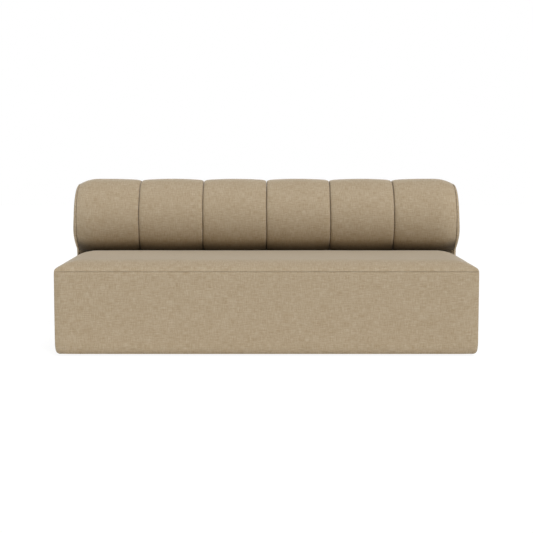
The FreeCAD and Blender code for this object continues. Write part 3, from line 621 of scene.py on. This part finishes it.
def dust_sheet():
    """Thin cloth stapled under the frame. It sags between the timbers, away from each by an
    exponential of the distance, puckers at its edge and has a narrow turned hem."""
    x = stations(2 * DUST_X, 14 * MM)[None, :] - DUST_X
    y = stations(2 * DUST_Y, 14 * MM)[:, None] - DUST_Y
    x, y = np.broadcast_arrays(x, y)
    off_x = np.min([np.abs(x - at) for at in TIMBERS_X], axis=0)
    off_y = np.min([np.abs(y - at) for at in TIMBERS_Y], axis=0)
    loose_x = 1 - np.exp(-np.clip(off_x - 23 * MM, 0, None) / (70 * MM))
    loose_y = 1 - np.exp(-np.clip(off_y - 12 * MM, 0, None) / (70 * MM))
    sag = 6 * MM * loose_x * loose_y * (1 + 0.3 * ripple(x, y, (0.09, 0.14, 0.23), 8))
    edge = np.minimum(DUST_X - np.abs(x), DUST_Y - np.abs(y))
    pucker = 0.5 * MM * np.exp(-edge / (30 * MM)) * (1 + ripple(x, y, (0.04, 0.06), 9)) / 2
    top = np.stack([x, y, UNDERSIDE - 0.1 * MM - sag - pucker], axis=-1)
    thick = np.where(edge < 14 * MM, 0.7 * MM, 0.4 * MM)
    under = top - thick[..., None] * np.array([0, 0, 1])
    return pad("dust_cloth", top, under, top[..., :2])


def seat_core():
    """Firm foam block over the springs: rounded oblong rings, stacked, with softened edges."""
    turn = np.linspace(0, 2 * math.pi, 360, endpoint=False)
    across, deep = np.cos(turn), np.sin(turn)
    wide = (HALF_WIDTH - FRAME_SET_BACK - PLAY, (CORE_REAR - CORE_FRONT) / 2)
    middle = np.array([0, (CORE_REAR + CORE_FRONT) / 2, 0])
    stretch = np.maximum(np.abs(across), np.abs(deep))
    square = np.stack([across / stretch * wide[0], deep / stretch * wide[1], 0 * turn], axis=-1)
    low, high = CORE_UNDER + PLAY, TOP_LAYER_UNDER - PLAY
    soft = 3 * MM
    rings = [square * (0.3, 0.3, 1) + (0, 0, low), square * (0.8, 0.8, 1) + (0, 0, low)]
    for angle in np.radians([-90, -60, -30, 0]):
        shrink = soft * (1 - math.cos(angle))
        rings.append(square * (1 - shrink / wide[0], 1 - shrink / wide[1], 1)
                     + (0, 0, low + soft * (1 + math.sin(angle))))
    rings += [ring * (1, 1, -1) + (0, 0, low + high) for ring in rings[::-1]]
    rings = np.array(rings) + middle
    centres = np.array([middle + (0, 0, low), middle + (0, 0, high)])
    return lathe_like("seat_core", rings, centres, rings[..., :2])


# Light, floor and camera, at the photograph's angle

def linear(code):
    """A colour written as an sRGB hex code, as the linear values that shaders take."""
    values = np.array([int(code[k:k + 2], 16) for k in (1, 3, 5)]) / 255
    values = np.where(values <= 0.04045, values / 12.92, ((values + 0.055) / 1.055) ** 2.4)
    return (*[float(c) for c in values], 1.0)


def add(tree, kind, settings=None, links=None, feeds=None):
    """Adds a node, sets its settings and gives its inputs a value or another node's output.

    A ramp's stops are places from 0 to 1 with hex colours. Feeds takes the first output.
    """
    made = tree.nodes.new(kind)
    for key, value in (settings or {}).items():
        if key == "stops":
            points = made.color_ramp.elements
            while len(points) < len(value):
                points.new(0.5)
            for point, (place, code) in zip(points, value):
                point.position = place
                point.color = linear(code)
        else:
            setattr(made, key, value)
    for key, value in (links or {}).items():
        socket = made.inputs[key]
        if isinstance(value, bpy.types.NodeSocket):
            tree.links.new(value, socket)
        else:
            socket.default_value = value
    if feeds is not None:
        tree.links.new(made.outputs[0], feeds)
    return made


def camera():
    """An 85 mm lens level with the back's top, 5.8 m in front of the seat, tipped down."""
    lens = bpy.data.cameras.new("camera")
    lens.lens = 85
    lens.sensor_width = 36
    eye = bpy.data.objects.new("camera", lens)
    eye.location = (0, -6.327, 0.993)
    eye.rotation_euler = (math.radians(90 - 5.54), 0, 0)
    bpy.context.scene.collection.objects.link(eye)
    bpy.context.scene.camera = eye


def lamp(name, azimuth, elevation, spread, strength):
    """A broad distant lamp. Azimuth is in degrees from straight ahead of the sofa, to its right."""
    sun = bpy.data.lights.new(name, "SUN")
    sun.angle = math.radians(spread)
    sun.energy = strength
    source = bpy.data.objects.new(name, sun)
    source.rotation_euler = (math.radians(90 - elevation), 0, math.radians(azimuth))
    bpy.context.scene.collection.objects.link(source)


def seen_plainly(tree):
    """1 for what the camera sees, straight or by way of a shine or glass, 0 for other light."""
    rays = add(tree, "ShaderNodeLightPath")
    seen = rays.outputs["Is Camera Ray"]
    for kind in ("Is Glossy Ray", "Is Transmission Ray"):
        seen = add(tree, "ShaderNodeMath", {"operation": "MAXIMUM"},
                   {0: seen, 1: rays.outputs[kind]}).outputs[0]
    return seen


def studio():
    """Pale floor and even white surroundings, which the camera sees as plain white."""
    world = bpy.data.worlds.new("studio")
    bpy.context.scene.world = world
    world.use_nodes = True
    tree = world.node_tree
    tree.nodes.clear()
    seen = seen_plainly(tree)
    light = add(tree, "ShaderNodeBackground", links={"Color": linear("#FFFFFF"), "Strength": 0.06})
    white = add(tree, "ShaderNodeBackground", links={"Color": linear("#FFFFFF"), "Strength": 1.0})
    both = add(tree, "ShaderNodeMixShader",
               links={0: seen, 1: light.outputs[0], 2: white.outputs[0]})
    add(tree, "ShaderNodeOutputWorld", links={"Surface": both.outputs[0]})

    size = 14.0
    points = np.array([[-size, -size, 0], [size, -size, 0], [size, size, 0], [-size, size, 0]])
    mesh = bpy.data.meshes.new("floor")
    mesh.from_pydata(points.tolist(), [], [(0, 1, 2, 3)])
    floor = bpy.data.objects.new("floor", mesh)
    bpy.context.scene.collection.objects.link(floor)
    material = bpy.data.materials.new("floor, white painted board")
    material.use_nodes = True
    tree = material.node_tree
    tree.nodes.clear()
    seen = seen_plainly(tree)
    # To the camera the board is nine parts white glow, so its lit tenth keeps the shadow.
    share = add(tree, "ShaderNodeMath", {"operation": "MULTIPLY"}, {0: seen, 1: 0.9})
    matt = add(tree, "ShaderNodeBsdfDiffuse", links={"Color": linear("#FCFCFB")})
    glow = add(tree, "ShaderNodeEmission", links={"Color": linear("#FFFFFF"), "Strength": 1.04})
    both = add(tree, "ShaderNodeMixShader",
               links={0: share.outputs[0], 1: matt.outputs[0], 2: glow.outputs[0]})
    add(tree, "ShaderNodeOutputMaterial", links={"Surface": both.outputs[0]})
    mesh.materials.append(material)

    # The key stands ahead to the right and high up. The others fill the sides and the rear.
    lamp("key", 25, 52, 20, 2.9)
    lamp("left", -100, 15, 30, 0.9)
    lamp("right", 100, 15, 30, 0.3)
    lamp("rear", 180, 15, 30, 1.1)


# Materials

def new_material(name):
    """An empty material with a shader and an output."""
    material = bpy.data.materials.new(name)
    material.use_nodes = True
    tree = material.node_tree
    tree.nodes.clear()
    shader = add(tree, "ShaderNodeBsdfPrincipled")
    add(tree, "ShaderNodeOutputMaterial", links={"Surface": shader.outputs[0]})
    return material, tree, shader


def mottle(tree, at, layers, others=()):
    """A tone about one half, as the weighted sum of noises and of other patterns.

    Each noise has its grains per metre each way, its detail, its roughness and its weight,
    and each other pattern its value and its weight. Also gives each noise by itself.
    """
    noises = []
    for scale, detail, rough, weight in layers:
        placed = add(tree, "ShaderNodeMapping", links={"Vector": at, "Scale": scale})
        noise = add(tree, "ShaderNodeTexNoise", links={
            "Vector": placed.outputs[0], "Scale": 1.0, "Detail": detail, "Roughness": rough,
        })
        noises.append((noise.outputs["Fac"], weight))
    parts = noises + list(others)
    tone = 0.5 - 0.5 * sum(weight for value, weight in parts)
    for value, weight in parts:
        tone = add(tree, "ShaderNodeMath", {"operation": "MULTIPLY_ADD"},
                   {0: value, 1: weight, 2: tone}).outputs[0]
    return tone, [value for value, weight in noises]


def threads(tree, at, pitch):
    """Plain weave: the product of two sine waves, one along each axis, a yarn apart."""
    fine = add(tree, "ShaderNodeVectorMath", {"operation": "SCALE"},
               {0: at, "Scale": math.pi / pitch})
    parts = add(tree, "ShaderNodeSeparateXYZ", links={0: fine.outputs[0]})
    warp = add(tree, "ShaderNodeMath", {"operation": "SINE"}, {0: parts.outputs["X"]})
    weft = add(tree, "ShaderNodeMath", {"operation": "SINE"}, {0: parts.outputs["Y"]})
    both = add(tree, "ShaderNodeMath", {"operation": "MULTIPLY"},
               {0: warp.outputs[0], 1: weft.outputs[0]})
    return add(tree, "ShaderNodeMath", {"operation": "MULTIPLY_ADD"},
               {0: both.outputs[0], 1: 0.5, 2: 0.5}).outputs[0]


def sofa_cloth():
    """Plain-woven polyester with a linen look, in warm taupe.

    Spun yarns of uneven thickness give thin slubs both ways, a soft mottling and a matt face
    with a little grey sheen where it is seen along the surface, partly the shader's sheen and partly
    painted into the colour. Cloth turning under the bolster has painted shade.
    """
    material, tree, shader = new_material("polyester cloth, plain woven, taupe")
    at = add(tree, "ShaderNodeUVMap", {"uv_map": "cloth"}).outputs["UV"]
    tone, (weft, warp, *_) = mottle(tree, at, [
        # Slubs are 20 to 50 mm long. They are about 1 mm thick and are drawn 4 mm thick to show.
        ((28, 260, 1), 2.0, 0.65, 1.0),
        ((260, 28, 1), 2.0, 0.65, 0.9),
        # The yarn's own neps are 1 to 3 mm across and are drawn 5 mm across to show.
        ((210, 210, 1), 1.0, 0.5, 0.3),
        # Batches of yarn differ over 50 to 150 mm.
        ((9, 13, 1), 2.0, 0.5, 0.2),
    ])
    ramp = add(tree, "ShaderNodeValToRGB", {"stops": [(0.1, "#988466"), (0.9, "#BCAD96")]},
               {"Fac": tone})
    # Painted sheen: fibre ends stand up from the cloth, and its colour is greyed where it is seen along
    # its face.
    facing = add(tree, "ShaderNodeLayerWeight", links={"Blend": 0.5}).outputs["Facing"]
    sheen_share = add(tree, "ShaderNodeMapRange", links={
        "Value": facing, "From Min": 0.6, "From Max": 1.0, "To Max": 0.6,
    })
    painted_sheen_mix = add(tree, "ShaderNodeMix", {"data_type": "RGBA"}, {
        "Factor": sheen_share.outputs[0], "A": ramp.outputs[0], "B": linear("#B8AD9B"),
    })
    # Painted shade: the crease under the bolster is nearly black, so cloth that turns under is painted
    # darker, by its direction from the bolster's axis. The seat, the neck and the end panels are left
    # out.
    place = add(tree, "ShaderNodeTexCoord").outputs["Object"]
    from_axis = add(tree, "ShaderNodeVectorMath", {"operation": "SUBTRACT"},
                    {0: place, 1: (0, AXIS_Y, AXIS_HEIGHT)})
    around = add(tree, "ShaderNodeVectorMath", {"operation": "MULTIPLY"},
                 {0: from_axis.outputs[0], 1: (0, 1, 1)})
    distance = add(tree, "ShaderNodeVectorMath", {"operation": "LENGTH"}, {0: around.outputs[0]})
    turned = add(tree, "ShaderNodeVectorMath", {"operation": "NORMALIZE"}, {0: around.outputs[0]})
    turned = add(tree, "ShaderNodeSeparateXYZ", links={0: turned.outputs[0]})
    under = add(tree, "ShaderNodeMapRange", {"interpolation_type": "SMOOTHSTEP"}, {
        "Value": turned.outputs["Z"], "From Min": -0.45, "From Max": -0.74, "To Max": 0.79,
    })
    parts = add(tree, "ShaderNodeSeparateXYZ", links={0: place})
    from_middle = add(tree, "ShaderNodeMath", {"operation": "ABSOLUTE"}, {0: parts.outputs["X"]})
    painted_shade = under
    for value, test, limit in (
        (distance.outputs["Value"], "LESS_THAN", CROWN_RADIUS + 0.5 * MM),
        (parts.outputs["Y"], "LESS_THAN", NECK_Y - MM),
        (from_middle.outputs[0], "LESS_THAN", END_SEAM),
    ):
        inside = add(tree, "ShaderNodeMath", {"operation": test}, {0: value, 1: limit})
        painted_shade = add(tree, "ShaderNodeMath", {"operation": "MULTIPLY"},
                    {0: painted_shade.outputs[0], 1: inside.outputs[0]})
    # Painted shade: the cloth's colour is mixed toward near black where it turns under the bolster.
    base = add(tree, "ShaderNodeMix", {"data_type": "RGBA"}, {
        "Factor": painted_shade.outputs[0], "A": painted_sheen_mix.outputs[2], "B": linear("#1A120A"),
    })
    tree.links.new(base.outputs[2], shader.inputs["Base Color"])
    # Yarns are 1.1 mm apart and are drawn 1.8 mm apart.
    weave = threads(tree, at, 1.8 * MM)
    height, _ = mottle(tree, at, [], [(weave, 0.35), (weft, 0.5), (warp, 0.4)])
    add(tree, "ShaderNodeBump", links={"Height": height, "Strength": 0.5, "Distance": 0.9 * MM},
        feeds=shader.inputs["Normal"])
    shader.inputs["Roughness"].default_value = 0.93
    shader.inputs["Specular IOR Level"].default_value = 0.2
    shader.inputs["Sheen Weight"].default_value = 0.1
    shader.inputs["Sheen Roughness"].default_value = 0.4
    shader.inputs["Sheen Tint"].default_value = linear("#DDE0E6")
    return material


def seat_foam():
    """Cut polyurethane foam, cream, which yellows a little where air reaches it.

    Open cells about 0.8 mm across give a fine pitted, matt face. They are drawn 2 mm across.
    """
    material, tree, shader = new_material("polyurethane foam, cut, cream")
    at = add(tree, "ShaderNodeTexCoord").outputs["Object"]
    cells = add(tree, "ShaderNodeTexVoronoi", links={"Vector": at, "Scale": 500.0})
    depth = cells.outputs["Distance"]
    tone, _ = mottle(tree, at, [((6, 6, 6), 2.0, 0.55, 0.8)], [(depth, 0.5)])
    add(tree, "ShaderNodeValToRGB", {"stops": [(0.2, "#D6C795"), (0.8, "#EBE3C4")]},
        {"Fac": tone}, shader.inputs["Base Color"])
    add(tree, "ShaderNodeBump", None, {"Height": depth, "Distance": 0.6 * MM},
        shader.inputs["Normal"])
    shader.inputs["Roughness"].default_value = 0.95
    return material


def grey_felt():
    """Needled felt of mixed waste fibres: a grey ground with pale and dark flecks."""
    material, tree, shader = new_material("needled felt, mixed grey fibres")
    at = add(tree, "ShaderNodeUVMap", {"uv_map": "cloth"}).outputs["UV"]
    # Fibres lie every way. They are hair thin and are drawn 1.5 mm by 12 mm to show.
    tone, _ = mottle(tree, at, [
        ((80, 650, 1), 3.0, 0.7, 1.2),
        ((650, 80, 1), 3.0, 0.7, 1.2),
        ((60, 60, 1), 2.0, 0.55, 0.6),
    ])
    add(tree, "ShaderNodeValToRGB", {"stops": [(0.15, "#3A3B3D"), (0.5, "#6B6C6D"), (0.85, "#A7A6A2")]},
        {"Fac": tone}, shader.inputs["Base Color"])
    add(tree, "ShaderNodeBump", None, {"Height": tone, "Distance": 0.8 * MM},
        shader.inputs["Normal"])
    shader.inputs["Roughness"].default_value = 0.97
    return material


def black_nonwoven():
    """Spunbonded polypropylene, black: a thin web with rows of small welded points.

    The points are 1 mm dots 2.5 mm apart, which shine a little more than the web.
    """
    material, tree, shader = new_material("spunbonded polypropylene cloth, black")
    at = add(tree, "ShaderNodeUVMap", {"uv_map": "cloth"}).outputs["UV"]
    points = threads(tree, at, 2.5 * MM)
    tone, _ = mottle(tree, at, [((120, 420, 1), 3.0, 0.65, 1.2)], [(points, 0.35)])
    add(tree, "ShaderNodeValToRGB", {"stops": [(0.2, "#121213"), (0.8, "#2C2C2E")]},
        {"Fac": tone}, shader.inputs["Base Color"])
    add(tree, "ShaderNodeBump", None, {"Height": points, "Distance": 0.3 * MM},
        shader.inputs["Normal"])
    add(tree, "ShaderNodeMapRange", None, {"Value": points, "To Min": 0.5, "To Max": 0.8},
        shader.inputs["Roughness"])
    return material


def seam_tape():
    """Cotton tape, unbleached, with a twill's fine slanting ribs 1.5 mm apart."""
    material, tree, shader = new_material("cotton tape, twill woven, brown")
    at = add(tree, "ShaderNodeUVMap", {"uv_map": "cloth"}).outputs["UV"]
    turned = add(tree, "ShaderNodeMapping", links={"Vector": at, "Rotation": (0, 0, math.radians(35))})
    ribs = threads(tree, turned.outputs[0], 1.5 * MM)
    tone, _ = mottle(tree, at, [((60, 500, 1), 3.0, 0.6, 1.0)], [(ribs, 0.4)])
    add(tree, "ShaderNodeValToRGB", {"stops": [(0.2, "#4A3C2A"), (0.8, "#6E5C44")]},
        {"Fac": tone}, shader.inputs["Base Color"])
    add(tree, "ShaderNodeBump", None, {"Height": ribs, "Distance": 0.3 * MM},
        shader.inputs["Normal"])
    shader.inputs["Roughness"].default_value = 0.9
    return material


AXES = {"X": (1, 0, 0), "Y": (0, 1, 0), "Z": (0, 0, 1)}


def birch_plywood(grain, through):
    """Birch plywood: pale rotary-cut faces with long faint grain along one axis.

    On its cut edges the plies show as bands 1.4 mm thick, every other one end grain and so
    darker. They are drawn 2.8 mm thick.
    """
    material, tree, shader = new_material(
        f"birch plywood, grain along {grain}, plies through {through}")
    place = add(tree, "ShaderNodeTexCoord").outputs["Object"]
    scale = tuple(5.0 if axis == grain else 120.0 for axis in "XYZ")
    wood, (figure, *_) = mottle(tree, place, [
        (scale, 3.0, 0.6, 0.9),
        (tuple(4 * s for s in scale), 1.0, 0.5, 0.3),
        ((2.2, 2.2, 2.2), 2.0, 0.55, 0.7),
    ])
    parts = add(tree, "ShaderNodeSeparateXYZ", links={0: place})
    turns = add(tree, "ShaderNodeMath", {"operation": "MULTIPLY"},
                {0: parts.outputs[through], 1: math.pi / (2.8 * MM)})
    plies = add(tree, "ShaderNodeMath", {"operation": "SINE"}, {0: turns.outputs[0]})
    bands = add(tree, "ShaderNodeMapRange", links={
        "Value": plies.outputs[0], "From Min": -0.3, "From Max": 0.3,
    })
    facing = add(tree, "ShaderNodeNewGeometry").outputs["Normal"]
    dot = add(tree, "ShaderNodeVectorMath", {"operation": "DOT_PRODUCT"}, {0: facing, 1: AXES[through]})
    face = add(tree, "ShaderNodeMath", {"operation": "ABSOLUTE"}, {0: dot.outputs["Value"]})
    edge = add(tree, "ShaderNodeMapRange", links={
        "Value": face.outputs[0], "From Min": 0.3, "From Max": 0.7, "To Min": 0.55, "To Max": 0.0,
    })
    banding = add(tree, "ShaderNodeMath", {"operation": "MULTIPLY"},
                  {0: edge.outputs[0], 1: bands.outputs[0]})
    tone = add(tree, "ShaderNodeMath", {"operation": "SUBTRACT"}, {0: wood, 1: banding.outputs[0]})
    add(tree, "ShaderNodeValToRGB", {"stops": [(0.0, "#8D6A43"), (0.35, "#C7A273"), (0.9, "#E3CBA3")]},
        {"Fac": tone.outputs[0]}, shader.inputs["Base Color"])
    add(tree, "ShaderNodeBump", None, {"Height": figure, "Distance": 0.25 * MM},
        shader.inputs["Normal"])
    shader.inputs["Roughness"].default_value = 0.62
    return material


def sawn_pine(grain):
    """Planed pine: yellow-white early wood with reddish late wood in lines 3 to 6 mm apart.

    The rings are waves across the grain, bent by noise that is long along it.
    """
    material, tree, shader = new_material(f"pine, planed, grain along {grain}")
    place = add(tree, "ShaderNodeTexCoord").outputs["Object"]
    squeeze = tuple(0.06 if axis == grain else 1.0 for axis in "XYZ")
    flat = add(tree, "ShaderNodeMapping", links={"Vector": place, "Scale": squeeze}).outputs[0]
    rings = add(tree, "ShaderNodeTexWave", {"wave_type": "RINGS", "rings_direction": grain}, {
        "Vector": flat, "Scale": 70.0, "Distortion": 3.0, "Detail": 2.0, "Detail Scale": 0.6,
    }).outputs["Fac"]
    scale = tuple(9.0 if axis == grain else 600.0 for axis in "XYZ")
    tone, (fibre,) = mottle(tree, place, [(scale, 2.0, 0.6, 0.7)], [(rings, 0.7)])
    add(tree, "ShaderNodeValToRGB", {"stops": [(0.1, "#E9D3A4"), (0.6, "#DDBD85"), (0.95, "#B98750")]},
        {"Fac": tone}, shader.inputs["Base Color"])
    add(tree, "ShaderNodeBump", None, {"Height": fibre, "Distance": 0.2 * MM},
        shader.inputs["Normal"])
    shader.inputs["Roughness"].default_value = 0.6
    return material


def brown_hardboard():
    """Pressed wood fibre, tempered: an even brown with fine fibres and a dull shine."""
    material, tree, shader = new_material("hardboard, tempered, brown")
    place = add(tree, "ShaderNodeTexCoord").outputs["Object"]
    # Fibres are under 1 mm across and are drawn 2 mm across to show.
    tone, (fibres, _) = mottle(tree, place, [
        ((450, 450, 450), 3.0, 0.7, 1.2),
        ((14, 14, 14), 2.0, 0.55, 0.6),
    ])
    add(tree, "ShaderNodeValToRGB", {"stops": [(0.1, "#5A3B22"), (0.5, "#7A5433"), (0.9, "#9A744C")]},
        {"Fac": tone}, shader.inputs["Base Color"])
    add(tree, "ShaderNodeBump", None, {"Height": fibres, "Distance": 0.15 * MM},
        shader.inputs["Normal"])
    shader.inputs["Roughness"].default_value = 0.55
    return material


def drawn_spring_steel():
    """Oil-tempered spring wire: drawn, blue-grey and semi-matt, with a brownish film of oil."""
    material, tree, shader = new_material("spring steel wire, oil tempered")
    place = add(tree, "ShaderNodeTexCoord").outputs["Object"]
    tone, (_, scratches) = mottle(tree, place, [
        ((35, 35, 35), 3.0, 0.6, 1.2),
        ((900, 900, 900), 2.0, 0.7, 0.5),
    ])
    add(tree, "ShaderNodeValToRGB", {"stops": [(0.1, "#3E3A37"), (0.5, "#55565A"), (0.9, "#74787F")]},
        {"Fac": tone}, shader.inputs["Base Color"])
    add(tree, "ShaderNodeMapRange", None, {"Value": tone, "To Min": 0.32, "To Max": 0.55},
        shader.inputs["Roughness"])
    add(tree, "ShaderNodeBump", None, {"Height": scratches, "Distance": 0.05 * MM},
        shader.inputs["Normal"])
    shader.inputs["Metallic"].default_value = 1.0
    return material


def zinc_plate():
    """Bright zinc plating on pressed and turned steel: bluish, spangled, a little cloudy."""
    material, tree, shader = new_material("steel, zinc plated")
    place = add(tree, "ShaderNodeTexCoord").outputs["Object"]
    spangle = add(tree, "ShaderNodeTexVoronoi", links={"Vector": place, "Scale": 260.0})
    tone, (clouds,) = mottle(tree, place, [((120, 120, 120), 3.0, 0.6, 0.9)],
                             [(spangle.outputs["Distance"], 0.5)])
    add(tree, "ShaderNodeValToRGB", {"stops": [(0.1, "#9A9FA6"), (0.5, "#B6BABF"), (0.9, "#CED1D4")]},
        {"Fac": tone}, shader.inputs["Base Color"])
    add(tree, "ShaderNodeMapRange", None, {"Value": clouds, "To Min": 0.22, "To Max": 0.42},
        shader.inputs["Roughness"])
    add(tree, "ShaderNodeBump", None, {"Height": clouds, "Distance": 0.03 * MM},
        shader.inputs["Normal"])
    shader.inputs["Metallic"].default_value = 1.0
    return material


def black_polyethylene():
    """Moulded polyethylene, black: a waxy half shine with a fine spark-eroded grain."""
    material, tree, shader = new_material("polyethylene, moulded, black")
    place = add(tree, "ShaderNodeTexCoord").outputs["Object"]
    tone, (grain, scuffs) = mottle(tree, place, [
        # The grain is 0.3 mm across and is drawn 1 mm across.
        ((1000, 1000, 1000), 1.0, 0.5, 0.4),
        ((90, 90, 90), 3.0, 0.7, 0.8),
    ])
    add(tree, "ShaderNodeValToRGB", {"stops": [(0.2, "#1A1A1B"), (0.8, "#343436")]},
        {"Fac": tone}, shader.inputs["Base Color"])
    add(tree, "ShaderNodeBump", None, {"Height": grain, "Distance": 0.1 * MM},
        shader.inputs["Normal"])
    add(tree, "ShaderNodeMapRange", None, {"Value": scuffs, "To Min": 0.35, "To Max": 0.6},
        shader.inputs["Roughness"])
    shader.inputs["IOR"].default_value = 1.51
    return material


def finish(material, *nodes):
    """Puts a material on CAD nodes in place of the one that they were packed with."""
    for name in nodes:
        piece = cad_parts[name]
        if not piece.material_slots:
            piece.data.materials.append(material)
        for slot in piece.material_slots:
            slot.material = material


cloth = sofa_cloth()
camera()
studio()


def upholster(piece, *nodes):
    """Gives a padded piece its cloth and its place on the sofa, and hides the CAD solids it stands for.
    """
    piece.data.materials.append(cloth)
    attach(piece, "root")
    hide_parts(*nodes)


upholster(seat_top(), "seat_cover", "seat_foam_top")
upholster(wall_panel("front_panel", HALF_WIDTH, in_front, [], (9, 9), 21),
          "front_cover", "front_border_foam")
upholster(wall_panel("rear_panel", HALF_WIDTH, at_rear, [], (-9, 9), 22),
          "rear_cover", "rear_border_foam")
upholster(wall_panel("right_side_panel", HALF_DEPTH, on_right, [SEAT_REAR], (SEAT_REAR, 9), 23),
          "right_side_cover", "right_border_foam")
upholster(wall_panel("left_side_panel", HALF_DEPTH, on_left, [SEAT_REAR], (SEAT_REAR, 9), 24),
          "left_side_cover", "left_border_foam")
for number in range(6):
    upholster(channel(number), f"back_channel_cover_{number + 1}", f"back_foam_{number + 1}")
for way, side in ((-1, "left"), (1, "right")):
    upholster(back_end(way), f"back_end_cover_{side}", f"back_end_foam_{side}")

core = seat_core()
core.data.materials.append(seat_foam())
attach(core, "root")
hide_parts("seat_foam_core")

felt = felt_sheet()
felt.data.materials.append(grey_felt())
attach(felt, "root")
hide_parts("spring_insulator")

dust = dust_sheet()
dust.data.materials.append(black_nonwoven())
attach(dust, "root")
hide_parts("dust_cover")

tapes = pull_strips()
tapes.data.materials.append(seam_tape())
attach(tapes, "root")
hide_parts("channel_pull_strips")

finish(birch_plywood("X", "Y"), "front_rail", "rear_rail", "spring_rail")
finish(birch_plywood("Y", "X"), "left_side_rail", "right_side_rail")
finish(birch_plywood("X", "Z"), "deck_board", "back_base_board")
finish(birch_plywood("Z", "X"), *[f"back_rib_{number}" for number in range(1, 8)])
finish(sawn_pine("X"), "spring_ledge", "foot_blocks", "roll_battens")
finish(sawn_pine("Y"), "cross_bearers")
finish(sawn_pine("Z"), "corner_blocks")
finish(brown_hardboard(), "roll_core_board", "neck_board", "back_rear_panel")
finish(drawn_spring_steel(), "seat_springs", "spring_tie_wires")
finish(zinc_plate(), "spring_clips", "frame_screws", "back_bolts", "tee_nuts", "glide_pins")
finish(black_polyethylene(), "glides")
